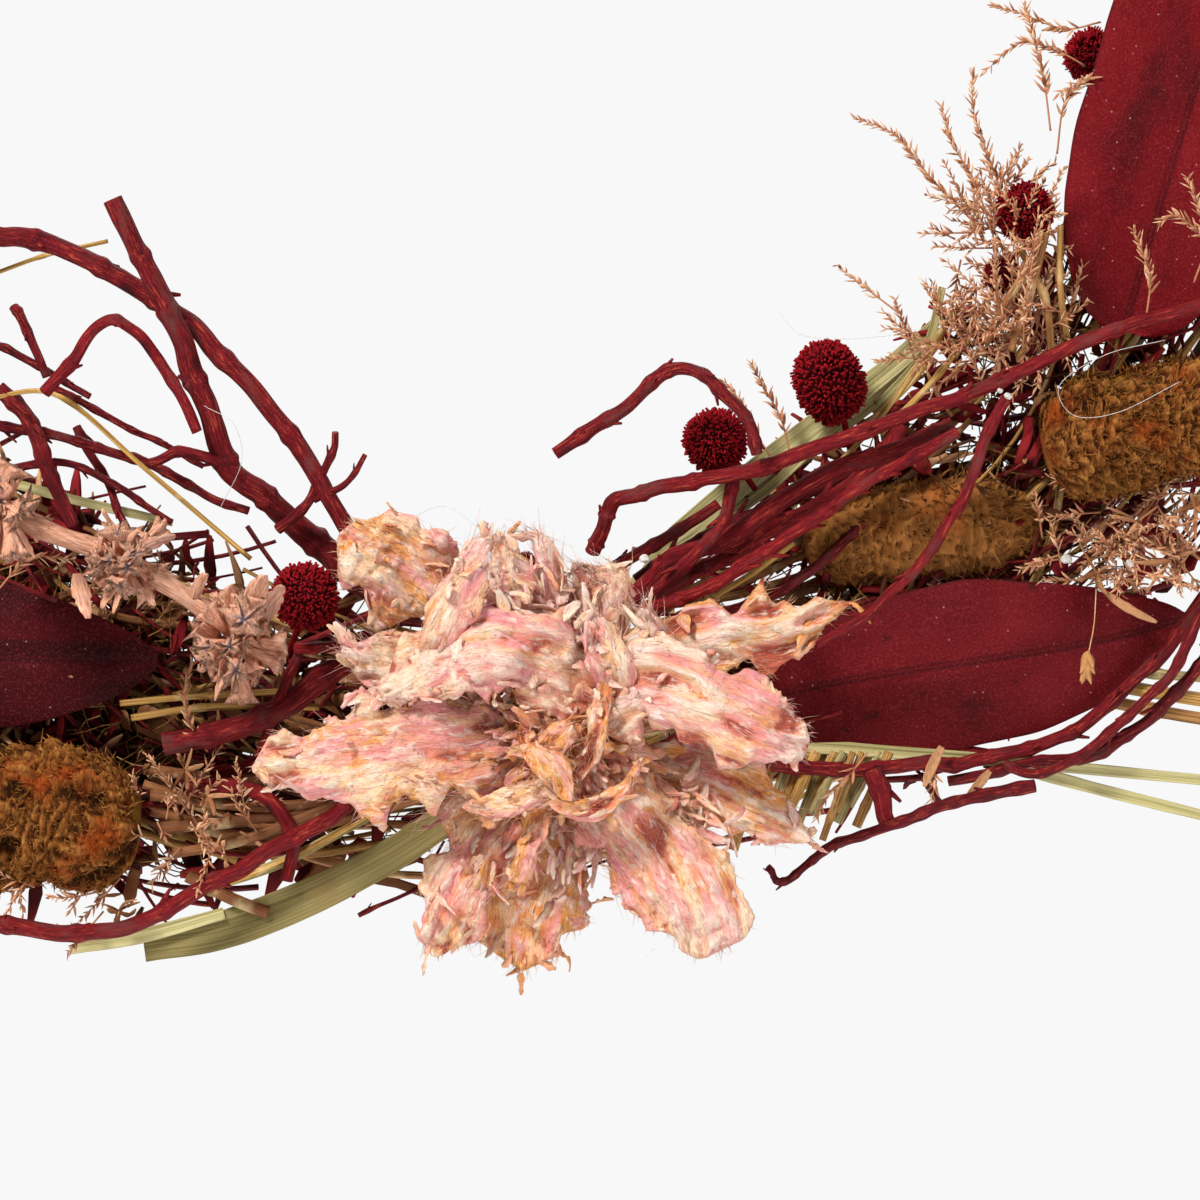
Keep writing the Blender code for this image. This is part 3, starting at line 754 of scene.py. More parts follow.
def cone_skins(node, start, radius, fibres, bright, seed):
    """A lumpy blunt body with rows of matted tufts and pits, and fibres that lie over it.

    The rows are a sawtooth along the axis, bent by noise, so that each tuft overlaps the next one.
    A cone with few fibres has a coarser body.
    """
    rng = np.random.default_rng(seed)
    rows, columns = (140, 100) if fibres > 2000 else (90, 64)
    spine = spine_of(node, rows, start, 2)
    share = np.linspace(0, 1, rows)[:, None]
    turn = circle(columns)[None]
    girth = radius * (1 - np.abs(2 * share - 1) ** 4) ** 0.42 * (0.98 - 0.1 * share)
    length = np.linalg.norm(spine[-1] - spine[0])
    ball = np.stack(np.broadcast_arrays(share * length, radius * np.cos(turn), radius * np.sin(turn)), -1)
    lumps = drift(ball, 13, seed, 4)
    pits = np.clip(lattice(ball, 11, seed + 30) - 0.42, 0, 1) * 7
    wavy = ball[..., 0] / 5.2 + 1.5 * lattice(ball, 10, seed + 31) + 0.6 * lattice(ball, 3.5, seed + 32)
    tuft = np.mod(wavy, 1.0) ** 1.4
    matted = drift(ball * (0.8, 1.6, 1.6), 2.2, seed + 33, 2)
    relief = 1.5 * tuft + 0.7 * matted - pits
    girth = np.maximum(girth * (0.88 + 0.1 * lumps) + relief * np.clip(girth / 6, 0, 1), 0.4)
    height = np.clip(0.15 + 0.55 * tuft + 0.3 * matted - 0.3 * pits, 0, 1)
    body = loft(spine, girth * np.cos(turn), girth * np.sin(turn), shade=bright)
    # The tuft height replaces the body's share along, so the finish paints shade into its pits and hollows.
    body[2][:rows * columns, 0] = height.ravel()
    skins = [body]
    row = rng.integers(2, rows - 2, fibres)
    column = rng.integers(0, columns, fibres)
    roots = body[0].reshape(-1, 3)[:rows * columns].reshape(rows, columns, 3)[row, column]
    outward = unit(roots - spine[row])
    ahead = unit(np.gradient(spine, axis=0))[row]
    flow = lattice(roots, 12, seed + 50)[:, None]
    around = np.cross(ahead, outward)
    direction = outward * rng.uniform(0.1, 0.7, (fibres, 1)) + around * flow * 1.5
    direction = direction + ahead * (0.5 + rng.normal(0, 0.5, (fibres, 1)))
    bends = rng.normal(0, 0.35, (fibres, 3)) - outward * rng.uniform(0.0, 0.4, (fibres, 1))
    reach = rng.uniform(1.2, 3.6, fibres)
    shade = np.clip(bright + 0.35 * lattice(roots, 6, seed + 70) + rng.normal(0, 0.2, fibres), 0, 1)
    skins.append(strands(roots - outward * 0.3, direction, bends, reach, rng.uniform(0.16, 0.42, fibres),
                         shade, rows=3))
    return skins


CONES = {
    # name: end to start from, radius, fibres, brightness, raised on the middle cone as painted light
    "cone_left": ((-80, -256, 38), 22.5, 3800, 0.5),
    "cone_middle": ((103, -182, 24), 15.5, 3000, 0.96),
    "cone_right": ((166, -156, 52), 19.0, 3300, 0.55),
    "cone_upper_right": ((236, 84, 32), 17.5, 1500, 0.55),
    "cone_upper_left": ((-198, 152, 32), 18.5, 1500, 0.55),
}
fibre = cone_finish()
for number, (name, (start, radius, fibres, bright)) in enumerate(CONES.items()):
    make_piece(name + "_fibre", cone_skins(name, start, radius, fibres, bright, 110 + number), fibre,
               stands_for=[name])


# ---- Dyed twigs.
# Crimson-dyed willow and dogwood, thick and thin, wired or glued in at their butts. The bark is
# streaked along its length, knotted at the old buds, and scraped or cut to orange wood in places.
TWIGS = {
    # name: radius at butt and tip, route
    "twig_arch": (3.1, 2.6, ((-205, -140, 50), (-190, -118, 52), (-165, -102, 54), (-140, -96, 55),
                             (-116, -98, 55), (-89, -108, 54), (-63.5, -124, 53), (-38, -152, 52),
                             (-20, -181, 50))),
    "twig_thick_cut": (4.2, 2.7, ((-8, -199.5, 34), (-22, -189, 36), (-35, -178.5, 40), (-47, -168.5, 44),
                                  (-54, -159, 48), (-61, -141.5, 54), (-67.5, -125, 60), (-76, -108, 64),
                                  (-84, -90, 66))),
    "twig_bent": (1.8, 1.6, ((-103, -141.5, 58), (-96, -133, 60), (-89, -125, 61), (-84, -121.5, 62),
                             (-78, -125, 61), (-72, -133, 60), (-66, -143, 59), (-62, -152, 58))),
    "twig_to_flower": (3.5, 3.3, ((-72, -236, 46), (-57, -232.5, 45), (-40.5, -225, 44), (-24, -216, 43),
                                  (-12, -208, 42))),
    "twig_forked_down": (2.5, 1.9, ((-66, -248, 40), (-54, -248, 40), (-45, -249.5, 40), (-40, -255, 40),
                                    (-37, -264, 40), (-39, -273, 40))),
    "twig_lower_left": (2.6, 2.3, ((-198, -232, 50), (-172, -256, 50), (-142, -276, 50), (-116, -284, 50),
                                   (-84, -285, 49), (-58, -273, 48), (-32, -259, 46), (-20, -249.5, 45))),
    "twig_hook": (2.0, 1.7, ((34, -158, 66), (46, -150, 67), (57, -142, 68), (65, -136.5, 68),
                             (73, -137, 68), (81, -143, 67), (86, -150, 66), (88, -158, 65))),
    "twig_long": (2.3, 1.9, ((44, -184, 48), (47, -177, 52), (53.5, -169, 56), (73, -165, 59),
                             (94.5, -160, 60), (135, -145.5, 60), (150, -139, 61), (181, -126, 62),
                             (208, -118, 62), (240, -104, 60))),
    "twig_bundle": (2.9, 2.6, ((53, -198, 46), (67.5, -186, 49), (84, -177, 51), (105, -164, 52),
                               (127, -156, 52), (141, -150, 52))),
    "twig_crossing": (1.7, 1.5, ((154, -143, 78), (147, -156, 78), (142, -170, 76), (134, -183, 73),
                                 (126, -192, 70), (119, -200, 67))),
    "twig_under_leaf": (2.2, 1.8, ((92, -241.5, 46), (113, -243, 46), (138, -241, 46), (155, -239, 45),
                                   (175.5, -231, 44), (196, -214, 42), (212, -192, 42))),
    "twig_curled_tip": (1.9, 0.9, ((163, -247, 52), (143, -251, 53), (127, -256, 54), (111, -262, 55),
                                   (102, -269, 55), (95, -272, 54), (91, -268.5, 54))),
    "twig_right_side": (2.8, 2.0, ((262, -72, 36), (268, -30, 40), (262, 14, 42), (246, 52, 40))),
    "twig_upper_right": (3.0, 2.0, ((254, 84, 56), (228, 134, 57), (182, 180, 50), (124, 218, 41))),
    "twig_top_left": (3.0, 2.2, ((-94, 222, 40), (-136, 204, 46), (-178, 170, 54), (-214, 120, 58))),
    "twig_left_side": (3.0, 2.2, ((-246, 74, 38), (-264, 26, 42), (-266, -26, 42), (-252, -72, 40))),
}
TWIG_SHADES = {"twig_bent": 0.7, "twig_crossing": 0.55, "twig_curled_tip": 0.1, "twig_under_leaf": 0.45,
               "twig_forked_down": 0.6, "twig_long": 0.62, "twig_bundle": 0.6, "twig_lower_left": 0.55}
# Millimetres from knot to knot, where they aren't 20.
KNOTS = {"twig_curled_tip": 6.0, "twig_hook": 9.0, "twig_under_leaf": 12.0}


def bark_finish():
    """Crimson dye over brown bark: streaks with painted shade in their grooves and painted highlight on their
    ridges, grey bloom, scraped orange wood, raw ends.
    """
    finish = Finish("dyed_bark", specular=0.16)
    grain, tone = finish.value("grain"), finish.value("tone")
    streak = finish.noise(grain, 1.0, (0.16, 1.9, 1.9), 7.0, 0.72)
    cloud = finish.noise(grain, 0.11, (0.7, 1.6, 1.6), 5.0)
    pit = finish.noise(grain, 1.6, detail=4.0)
    # Partly the dye's own streaks and partly painted light: the streak is also the bump, and its grooves take
    # the darkest red as painted shade, its ridges the lightest as painted highlight.
    deep = finish.ramp(streak, (0.3, "1E0407"), (0.44, "4E0C14"), (0.58, "74121C"), (0.76, "A83238"))
    bright = finish.ramp(streak, (0.3, "38060B"), (0.44, "7A101A"), (0.58, "A01A22"), (0.76, "D8604A"))
    colour = finish.mix(finish.part(tone, 1), deep, bright)
    colour = finish.tint(colour, "6B4640", cloud, 0.55, 0.7, 0.6)
    colour = finish.tint(colour, "2A080C", cloud, 0.4, 0.28, 0.8)
    worn = finish.times(finish.step(cloud, 0.45, 0.48), finish.step(cloud, 0.56, 0.52))
    worn = finish.times(worn, finish.step(streak, 0.52, 0.62))
    colour = finish.mix(finish.times(worn, 0.6), colour, "C85A3C")
    raw = finish.part(tone, 2)
    wood = finish.ramp(pit, (0.35, "A82E1C"), (0.6, "D86A3C"), (0.8, "EFA870"))
    colour = finish.tint(colour, wood, raw, 0.25, 0.8)
    under = finish.bump(streak, 0.8)
    return finish.use(Base_Color=colour, Roughness=finish.step(streak, -0.55, 1.3),
                      Normal=finish.bump(pit, 0.25, under=under))


def twig_skins(route, butt, tip, seed, shade=0.5, knots=20.0, thorns=1.0, wander=1.0, sides=12):
    """A knotted twig with bud stubs. Radius runs from butt to tip and swells at every knot."""
    rng = np.random.default_rng(seed)
    route = np.asarray(route, float)
    length = np.linalg.norm(np.diff(route, axis=0), axis=1).sum()
    rows = max(int(length / 0.8), 14)
    line = smooth_route(route, rows)
    share = np.linspace(0, 1, rows)
    step = np.stack([share * length, 0 * share, 0 * share], -1)
    calm = np.clip(np.minimum(share, 1 - share) * 6, 0, 1)
    for axis in range(3):
        line[:, axis] += drift(step, 17, seed * 7 + axis, 2) * wander * calm
    spots = (np.arange(max(int(length / knots), 1)) + rng.uniform(0.25, 0.75, max(int(length / knots), 1)))
    spots = spots * knots / length
    swell = np.exp(-(((share[:, None] - spots) * length / 1.5) ** 2)).sum(1)
    girth = (butt + (tip - butt) * share) * (0.92 + 0.2 * swell)
    turn = circle(sides)
    bark = np.stack(np.broadcast_arrays(step[:, None, 0] * 0.35, 3.0 * np.cos(turn), 3.0 * np.sin(turn)), -1)
    girth = girth[:, None] * (1 + 0.11 * drift(bark, 2.4, seed + 3, 2))
    skins = [tube(line, girth, sides, shade=shade, start=seed * 53.0, sunk=-0.12, cut=1.0)]
    chosen = np.clip((spots * rows).astype(int), 1, rows - 2)
    ahead = unit(np.gradient(line, axis=0))[chosen]
    around = unit(np.cross(ahead, rng.normal(0, 1, (len(chosen), 3)) * (1, 1, 0.6)))
    size = girth.mean(1)[chosen]
    reach = size * rng.uniform(1.3, 2.1, len(chosen)) * thorns + 0.3
    skins.append(strands(line[chosen] - ahead * size[:, None] * 0.5, around + ahead * 0.9, ahead * 0.3, reach,
                         size * 0.42, shade * np.ones(len(chosen)), rows=5, sides=6, tip=0.35))
    return skins


bark = bark_finish()
for number, (name, (butt, tip, route)) in enumerate(TWIGS.items()):
    skins = twig_skins(route, butt, tip, 200 + number, TWIG_SHADES.get(name, 0.4), KNOTS.get(name, 20.0))
    make_piece(name + "_bark", skins, bark, stands_for=[name])

# The thin twigs among them: radius at butt and tip, shade, route.
SMALL_TWIGS = (
    (2.5, 2.0, 0.35, ((-116, -140, 50), (-109, -147, 50), (-105, -156, 51), (-101, -167, 50),
                      (-96, -177, 48))),
    (1.6, 1.3, 0.15, ((-118, -149.5, 44), (-103, -153, 45), (-90.5, -155.5, 46), (-78, -160, 46),
                      (-65, -167, 45), (-49, -173, 42))),
    (1.2, 0.9, 0.2, ((-101, -140, 50), (-92, -144, 50), (-81, -150, 49), (-72, -155, 48), (-61, -161, 46))),
    (1.5, 1.3, 0.3, ((-112, -118, 49), (-109, -124, 50), (-103, -137, 50))),
    (1.2, 1.0, 0.0, ((-118, -128, 40), (-104, -134, 40), (-92, -142, 40))),
    (1.3, 1.0, 0.1, ((-118, -163, 42), (-100, -160, 41), (-84, -166, 40), (-70, -176, 38))),
    (1.4, 1.2, 0.2, ((-96, -150, 36), (-88, -163, 37), (-82, -178, 38))),
    (1.6, 1.6, 0.9, ((-36.5, -210, 47), (-9.5, -208, 48))),
    (1.6, 1.5, 0.4, ((-35, -210, 45), (-39, -221, 45), (-44, -235, 44), (-46, -243, 42))),
    (1.9, 1.6, 0.4, ((-60, -244, 34), (-40, -240, 34), (-20, -236, 34))),
    (1.8, 1.7, 0.5, ((50, -188, 44), (62, -181, 44), (78, -171, 43))),
    (2.5, 2.2, 0.65, ((60, -196, 40), (73, -189, 41), (89, -180, 42), (113, -166, 42), (128, -150, 40))),
    (2.0, 1.8, 0.75, ((57, -200, 52), (78, -192, 57), (100, -178, 58), (119, -164, 58), (142, -152, 57))),
    (1.9, 1.8, 0.55, ((82, -164, 56), (80, -175, 57), (73, -183, 56), (59, -196, 50))),
    (2.2, 2.0, 0.2, ((56, -192, 38), (75, -180, 38), (96, -170, 38), (118, -160, 36))),
    (1.8, 1.6, 0.1, ((70, -202, 36), (86, -198, 36), (104, -188, 36), (118, -176, 34))),
    (1.6, 1.4, 0.3, ((208, -200, 50), (201, -214, 50), (194, -222.5, 50), (184, -231, 50), (174, -239.5, 49),
                     (163, -244, 48), (155, -241, 46))),
    (2.0, 1.6, 0.15, ((214, -205, 46), (204, -219, 46), (192, -230, 46), (178, -238, 46), (160, -242, 45),
                      (140, -246, 44))),
    (3.0, 2.6, 0.5, ((119, -243, 50), (124, -258, 52))),
    (0.7, 0.4, 0.1, ((-19, -282, 50), (-8, -277, 50), (-1, -272, 49), (4, -262, 47))),
    (1.6, 1.0, 0.3, ((-41, -178, 46), (-32, -170, 50), (-27, -160, 53), (-25, -152, 55))),
    (1.2, 0.8, 0.3, ((-31, -170, 50), (-23, -166, 54), (-17, -158, 56))),
    (1.8, 1.4, 0.35, ((-47, -168, 46), (-56, -160, 50), (-66, -157, 52), (-75, -160, 52))),
    (1.6, 1.3, 0.6, ((-36, -262, 46), (-28, -256, 47), (-22, -252, 47))),
    (1.5, 1.2, 0.55, ((121, -198, 67), (112, -204, 66), (104, -209, 64))),
)
make_piece("small_twigs", [skin for number, (butt, tip, shade, route) in enumerate(SMALL_TWIGS)
                           for skin in twig_skins(route, butt, tip, 260 + number, shade, 9.0, 1.3, 0.8, 9)],
           bark)


# ---- Red ball flowers.
# Dried billy-button heads, dyed deep red. Each is a tight ball of tiny velvety florets in
# spirals on a thin wiry stem, which is glued in among the twigs.
BALLS = {
    # name: radius, stretch along the stem, head, foot
    "ball_flower_left": (9.0, 1.0, (-33, -196, 58), (-40, -214, 32)),
    "ball_flower_middle": (8.6, 1.0, (77, -154, 46), (88, -167, 38)),
    "ball_flower_egg": (9.4, 1.32, (108, -138, 44), (114, -156, 30)),
    "ball_flower_spiky": (7.5, 1.0, (181, -48, 18), (192, -72, 14)),
    "ball_flower_right": (8.0, 1.0, (161, -92, 40), (166, -116, 34)),
    "ball_flower_upper_left": (8.5, 1.0, (-154, 208, 52), (-161, 197, 41)),
}


def floret_finish():
    """Velvety red: black between the florets, which is painted shade, bright crimson at their open tips."""
    finish = Finish("red_floret", roughness=0.85, specular=0.08)
    tone = finish.value("tone")
    place = finish.place()
    patch = finish.noise(place, 0.16, detail=3.0)
    fine = finish.noise(place, 2.2, detail=3.0)
    # Painted shade: dark at the floret roots and on the core between them, crimson at the tips.
    colour = finish.ramp(finish.part(tone, 0), (0.0, "280408"), (0.5, "62070F"), (1.0, "901019"))
    colour = finish.tint(colour, "640A12", patch, 0.45, 0.7, 0.7)
    colour = finish.mix(finish.times(finish.part(tone, 1), 0.35), colour, "C0242E")
    return finish.use(Base_Color=colour, Normal=finish.bump(fine, 0.3))


def golden_directions(many):
    """Even directions over a ball: each is one golden angle on from the last, at even heights."""
    index = np.arange(many) + 0.5
    height = 1 - 2 * index / many
    turn = index * pi * (3 - 5 ** 0.5)
    flat = np.sqrt(1 - height ** 2)
    return np.stack([flat * np.cos(turn), flat * np.sin(turn), height], -1)


def ball_skins(radius, stretch, head, foot, seed, florets=950, spike=1.0):
    """A round head: a core, florets standing out of it, then the stem."""
    rng = np.random.default_rng(seed)
    head, foot = np.asarray(head, float), np.asarray(foot, float)
    down = unit(foot - head)
    ways = golden_directions(florets)
    ways = unit(ways + down * (ways @ down)[:, None] * (stretch - 1))
    size = radius * (1 + (stretch - 1) * (ways @ down) ** 2) * (1 + 0.05 * lattice(ways * 10, 5, seed))
    reach = radius * 0.12 * spike
    rows = 22
    turn = np.linspace(0.02, pi - 0.02, rows)
    line = head - down * (radius * stretch - reach) * np.cos(turn)[:, None]
    core = tube(line, (radius - reach) * np.sin(turn), 18, hint=(0.3, 0.8, 0.5), shade=0.0)
    # The core takes the darkest colour, as painted shade between the florets.
    core = (core[0], core[1], core[2] * (0.0, 1, 1), core[3], core[4])
    lean = rng.normal(0, 0.34, (florets, 3))
    roots = head + ways * (size - reach * 1.3)[:, None]
    shade = np.clip(rng.normal(0.4, 0.3, florets), 0, 1)
    crown = strands(roots, ways + lean, lean * 0.3, reach * rng.uniform(0.9, 1.9, florets),
                    radius * 0.056 * rng.uniform(0.8, 1.2, florets), shade, rows=3, sides=3, tip=0.7)
    stalk = smooth_route([head + down * radius * 0.8, head * 0.5 + foot * 0.5 + (0.8, 0, 0), foot], 20)
    stem = tube(stalk, np.linspace(1.1, 0.8, 20), 8, shade=0.2)
    return [core, crown, (stem[0], stem[1], stem[2] * (0.0, 1, 1) + (0.45, 0, 0), stem[3], stem[4])]


velvet = floret_finish()
for number, (name, (radius, stretch, head, foot)) in enumerate(BALLS.items()):
    spike = 1.7 if name == "ball_flower_spiky" else 1.0
    make_piece(name + "_florets", ball_skins(radius, stretch, head, foot, 300 + number, spike=spike), velvet,
               stands_for=[name])
make_piece("ball_flower_buds", ball_skins(5.2, 1.05, (155, -109, 38), (163, -128, 32), 310, 330)
           + ball_skins(3.2, 1.0, (26, -187, 60), (34, -204, 52), 311, 180), velvet)


# ---- The large flower.
# A dried protea-like bloom: thick, crumpled, fibrous petals, cream and pink at their tips, ochre
# and mauve in their folds, which painted shade also darkens, torn round a fibrous heart. All are fixed round
# one woody core.
FLOWER_PLACE = (36.5, -233.0)

PETALS = {
    # name: (half width, right, up, out) along the petal, crumple, ribs, ochre, thickness, shreds
    "petal_upper_left": (((5, 22, -222, 54), (8, 10, -202, 56), (11.5, -3, -191, 59), (9.5, -14, -184, 61),
                          (5.0, -24, -180, 62)), 1.5, 0.5, 0.85, 3.4, 44),
    "petal_upper_right": (((3.5, 52, -220, 54), (6, 66, -210, 56), (8, 80, -206, 58), (10, 92, -206, 60),
                           (5, 103, -202, 61), (0.8, 113.5, -197.5, 62)), 0.6, 1.9, 0.9, 3.0, 10),
    "petal_lower": (((5, 36, -246, 54), (9, 34, -262, 56), (13, 28, -277, 58), (12, 26, -288, 59),
                     (5, 25, -296, 60)), 1.6, 0.5, 0.95, 3.2, 40),
    "petal_right_point": (((4, 50, -238, 62), (9, 66, -244, 64), (11, 78, -249, 66), (7, 90, -255, 68),
                           (0.8, 103, -261.5, 69)), 1.2, 1.0, 0.4, 3.2, 26),
    "petal_lower_left": (((6, 28, -246, 62), (11, 18, -258, 64), (10, 11, -270, 66), (8, 6, -281, 68),
                          (3.5, 2, -292, 69)), 1.4, 0.8, 0.5, 3.6, 26),
    "petal_top_left": (((4, 34, -222, 62), (8, 28, -208, 65), (8, 23, -196, 68), (5, 20, -186, 70),
                        (2.0, 18, -180, 71)), 1.2, 1.2, 0.5, 3.0, 30),
    "petal_lower_right": (((5, 45, -244, 70), (11.5, 54, -255, 73), (11.5, 64, -267, 75), (11, 71, -280, 77),
                           (5, 73, -292, 77)), 1.2, 1.0, 0.25, 4.2, 8),
    "petal_left": (((4, 26, -234, 70), (11, 12, -236, 75), (14, -3, -236.5, 78), (12, -18, -238, 79),
                    (8.5, -32, -240, 79), (4, -46, -242, 78)), 0.9, 0.9, 0.3, 5.0, 16),
    "petal_right_round": (((8, 44, -227, 78), (12, 58, -221, 82), (10, 74, -226, 85), (9, 88, -232, 86),
                           (8, 96, -234.5, 85), (6.5, 101, -235.5, 84)), 1.0, 1.3, 0.1, 6.0, 8),
    "petal_folded": (((7, 46, -222, 79), (11, 32, -215, 82), (11.5, 18, -212, 84), (9.5, 5, -215, 84),
                      (6, -6, -219, 83), (2.5, -13, -223, 82)), 1.8, 1.1, 0.15, 4.5, 30),
}
LONG_HAIRED = ("petal_left", "petal_lower_right", "petal_lower_left")
LOOSE_FLAPS = (
    # The same, without shreds, for the loose flaps between the petals.
    (((2, 0, -212, 84), (5, 4, -203, 87), (5.5, 9, -193, 88), (3.5, 14, -185, 88), (1.2, 17, -181, 87)),
     0.6, 0.6, 0.0, 2.4),
    (((4, 20, -220, 62), (8, 4, -218, 68), (8, -8, -215, 70), (4, -18, -212, 71), (1, -23, -209, 71)),
     1.4, 1.0, 0.1, 2.6),
    (((4, 40, -218, 72), (6, 36, -203, 76), (4, 33, -190, 78), (2, 30, -181, 78), (1, 26, -179, 77)), 0.9,
     1.3, 0.0, 2.0),
    (((3, 46, -216, 70), (5, 47, -203, 74), (4, 44, -193, 76), (2, 40, -189, 77)), 0.9, 1.2, 0.1, 2.0),
    (((2, 50, -212, 74), (4, 48, -200, 76), (3.5, 50, -192, 77), (1.2, 45, -189, 77)), 0.6, 1.0, 0.3, 1.8),
    (((2.5, 58, -216, 80), (2.6, 60, -206, 83), (1.8, 57, -199, 84)), 0.4, 1.0, 0.0, 2.0),
    (((3, 50, -226, 83), (6, 48, -214, 87), (4, 46, -205, 87), (1.5, 44, -200, 85)), 0.8, 1.4, 0.0, 2.0),
)
HEART = (
    # The same for the curled flaps in the middle.
    (((1.5, 24, -229, 82), (4, 28, -236, 87), (4, 34, -243, 88), (1.5, 38, -249, 86)), 0.8, 1.0, 0.8, 2.4),
    (((1.5, 48, -218, 85), (3, 46, -228, 88), (3, 43, -238, 88), (1.5, 38, -246, 85)), 0.6, 1.0, 0.6, 2.2),
    (((1.2, 57, -239, 86), (2.6, 52, -247, 89), (3.6, 44, -252, 88), (1.5, 34, -251, 84)), 0.9, 0.8, 0.7,
     2.4),
    (((1.5, 10, -252, 80), (4, 18, -252, 83), (4.5, 27, -249, 84), (2, 36, -244, 82)), 0.6, 0.8, 0.1, 2.2),
    (((3, 30, -246, 76), (5, 29, -256, 79), (4, 26, -266, 80), (1.5, 22, -274, 79)), 1.0, 1.0, 0.9, 2.0),
    (((3, 42, -228, 84), (4, 36, -232, 86), (3, 30, -238, 84)), 1.0, 0.5, 1.0, 3.0),
)


def petal_finish():
    """Cream, pink, mauve and ochre: tone is (share along, ochre, height of the crumple); the height paints
    light and shade.
    """
    finish = Finish("petal", roughness=0.8, specular=0.1)
    grain, tone = finish.value("grain"), finish.value("tone")
    along, ochre, height = (finish.part(tone, axis) for axis in (0, 1, 2))
    cloud = finish.noise(grain, 0.08, (0.6, 1.4, 1.0), 3.0)
    other = finish.noise(grain, 0.13, (0.4, 1.5, 1.0), 3.0, twist=0.8)
    fibre = finish.noise(grain, 1.0, (0.12, 2.6, 2.0), 6.0, 0.62)
    tip = finish.times(finish.step(along, 0.62, 0.92), finish.step(ochre, 0.35, 0.1))
    crinkle = finish.noise(grain, 0.5, (0.45, 1.3, 1.0), 4.0, 0.6, 0.5)
    colour = finish.tint("FFDAAE", "F8A6A2", cloud, 0.43, 0.57)
    gold = finish.step(finish.sum(other, finish.times(ochre, 0.2)), 0.56, 0.74)
    colour = finish.mix(gold, colour, finish.ramp(fibre, (0.35, "D87C38"), (0.55, "F8B264"),
                                                  (0.75, "FFDC9C")))
    violet = finish.times(finish.step(other, 0.48, 0.34), finish.sum(1.0, ochre, "SUBTRACT"))
    colour = finish.mix(finish.times(violet, 0.75), colour, "E486A0")
    colour = finish.mix(finish.times(tip, 0.7), colour, "FFEADC")
    # Painted shade at the petal's base, deep among the other petals.
    base = finish.step(along, 0.36, 0.0)
    colour = finish.mix(finish.times(base, 0.6), colour, "C4604E")
    # Painted light and shade from the crumple height: painted highlight on the ridge tops, painted shade in
    # the creases.
    colour = finish.tint(colour, "FFEEDA", height, 0.62, 0.92, 0.6)
    colour = finish.tint(colour, "E28058", height, 0.36, 0.08, 0.65)
    colour = finish.tint(colour, "A8443C", height, 0.16, 0.0, 0.8)
    # Painted shade in the hollows of the crinkle bump and painted highlight on its tops.
    colour = finish.tint(colour, "E48468", crinkle, 0.44, 0.34, 0.45)
    colour = finish.tint(colour, "FFF2E4", crinkle, 0.54, 0.64, 0.6)
    colour = finish.tint(colour, "E48C74", fibre, 0.5, 0.34, 0.3)
    folded = finish.bump(crinkle, 1.5, under=finish.bump(fibre, 0.6))
    return finish.use(Base_Color=colour, Roughness=finish.step(fibre, -1.2, 1.0), Normal=folded)


def petal_skin(path, crumple, ribs, ochre, thick, seed, rows=112, columns=76):
    """A thick crumpled petal, and what is needed to set fibres on it.

    Across is the half width, torn at its margin by noise, times cos(turn). Rise is crumples, which
    are wide lumps and lengthwise ribs of noise, and half the thickness times sin(turn), which is
    knobbly on the front.
    """
    path = np.asarray(path, float)
    line = smooth_route(path, rows)
    half, spine = np.maximum(line[:, :1], 0.5), line[:, 1:]
    share = np.linspace(0, 1, rows)[:, None]
    turn = circle(columns)[None]
    step = np.linalg.norm(np.diff(spine, axis=0), axis=1)
    along = np.concatenate([[0], np.cumsum(step)])[:, None]
    half = half * np.clip(np.sqrt(np.minimum(share, 1 - share) * 14), 0.25, 1)
    u = np.sign(np.cos(turn)) * np.abs(np.cos(turn)) ** 0.8
    margin = np.stack(np.broadcast_arrays(along, np.sign(u) * 60.0, 0.0), -1)
    half = half * (1.1 + 0.42 * drift(margin, 8.5, seed, 5))
    across = half * u
    flat = np.stack(np.broadcast_arrays(along, across, 0.0), -1)
    sheet = drift(flat, 14, seed + 1, 2)
    folds = 1 - np.abs(drift(flat * (0.22, 1, 1), 4.8, seed + 2, 2)) * 2.4
    knobs = np.abs(drift(flat * (0.7, 1, 1), 4.2, seed + 3, 3)) * 3.0 - 0.9
    grit = 1 - 2 * np.abs(drift(flat * (0.7, 1, 1), 1.9, seed + 6, 2))
    front = np.clip(np.sin(turn), 0, 1) ** 0.5
    rough = 0.25 + 0.75 * share
    height = (0.6 * crumple * knobs * rough + ribs * 1.3 * folds + 0.45 * grit * rough) * front
    body = np.sign(np.sin(turn)) * np.abs(np.sin(turn)) ** 0.8 * thick / 2
    rise = body * (0.6 + 0.4 * np.sin(pi * share)) + crumple * 2.2 * sheet + height * 0.75
    # The height mark is painted light and shade in the finish: higher on ridges and lifted parts, lower in
    # hollows and on the petal's back, which faces away.
    mark = np.clip(0.5 + 0.27 * height + 0.16 * sheet - 0.28 * (1 - front), 0, 1)
    skin = loft(spine, across, rise, shade=ochre, edge=mark, start=seed * 61.0)
    return skin, rows, columns, spine


def petal_spots(made, many, rng, part=(0.0, 1.0)):
    """Places picked on a part of a petal's front, each with the petal's way there and the way off it."""
    skin, rows, columns, spine = made
    row = rng.integers(int(part[0] * (rows - 3)) + 1, int(part[1] * (rows - 3)) + 2, many)
    column = rng.integers(0, columns // 2 + 1, many)
    roots = skin[0][:rows * columns].reshape(rows, columns, 3)[row, column]
    ahead = unit(np.gradient(spine, axis=0))[row]
    return roots, ahead, unit(roots - spine[row] + (0, 0, 1.5))


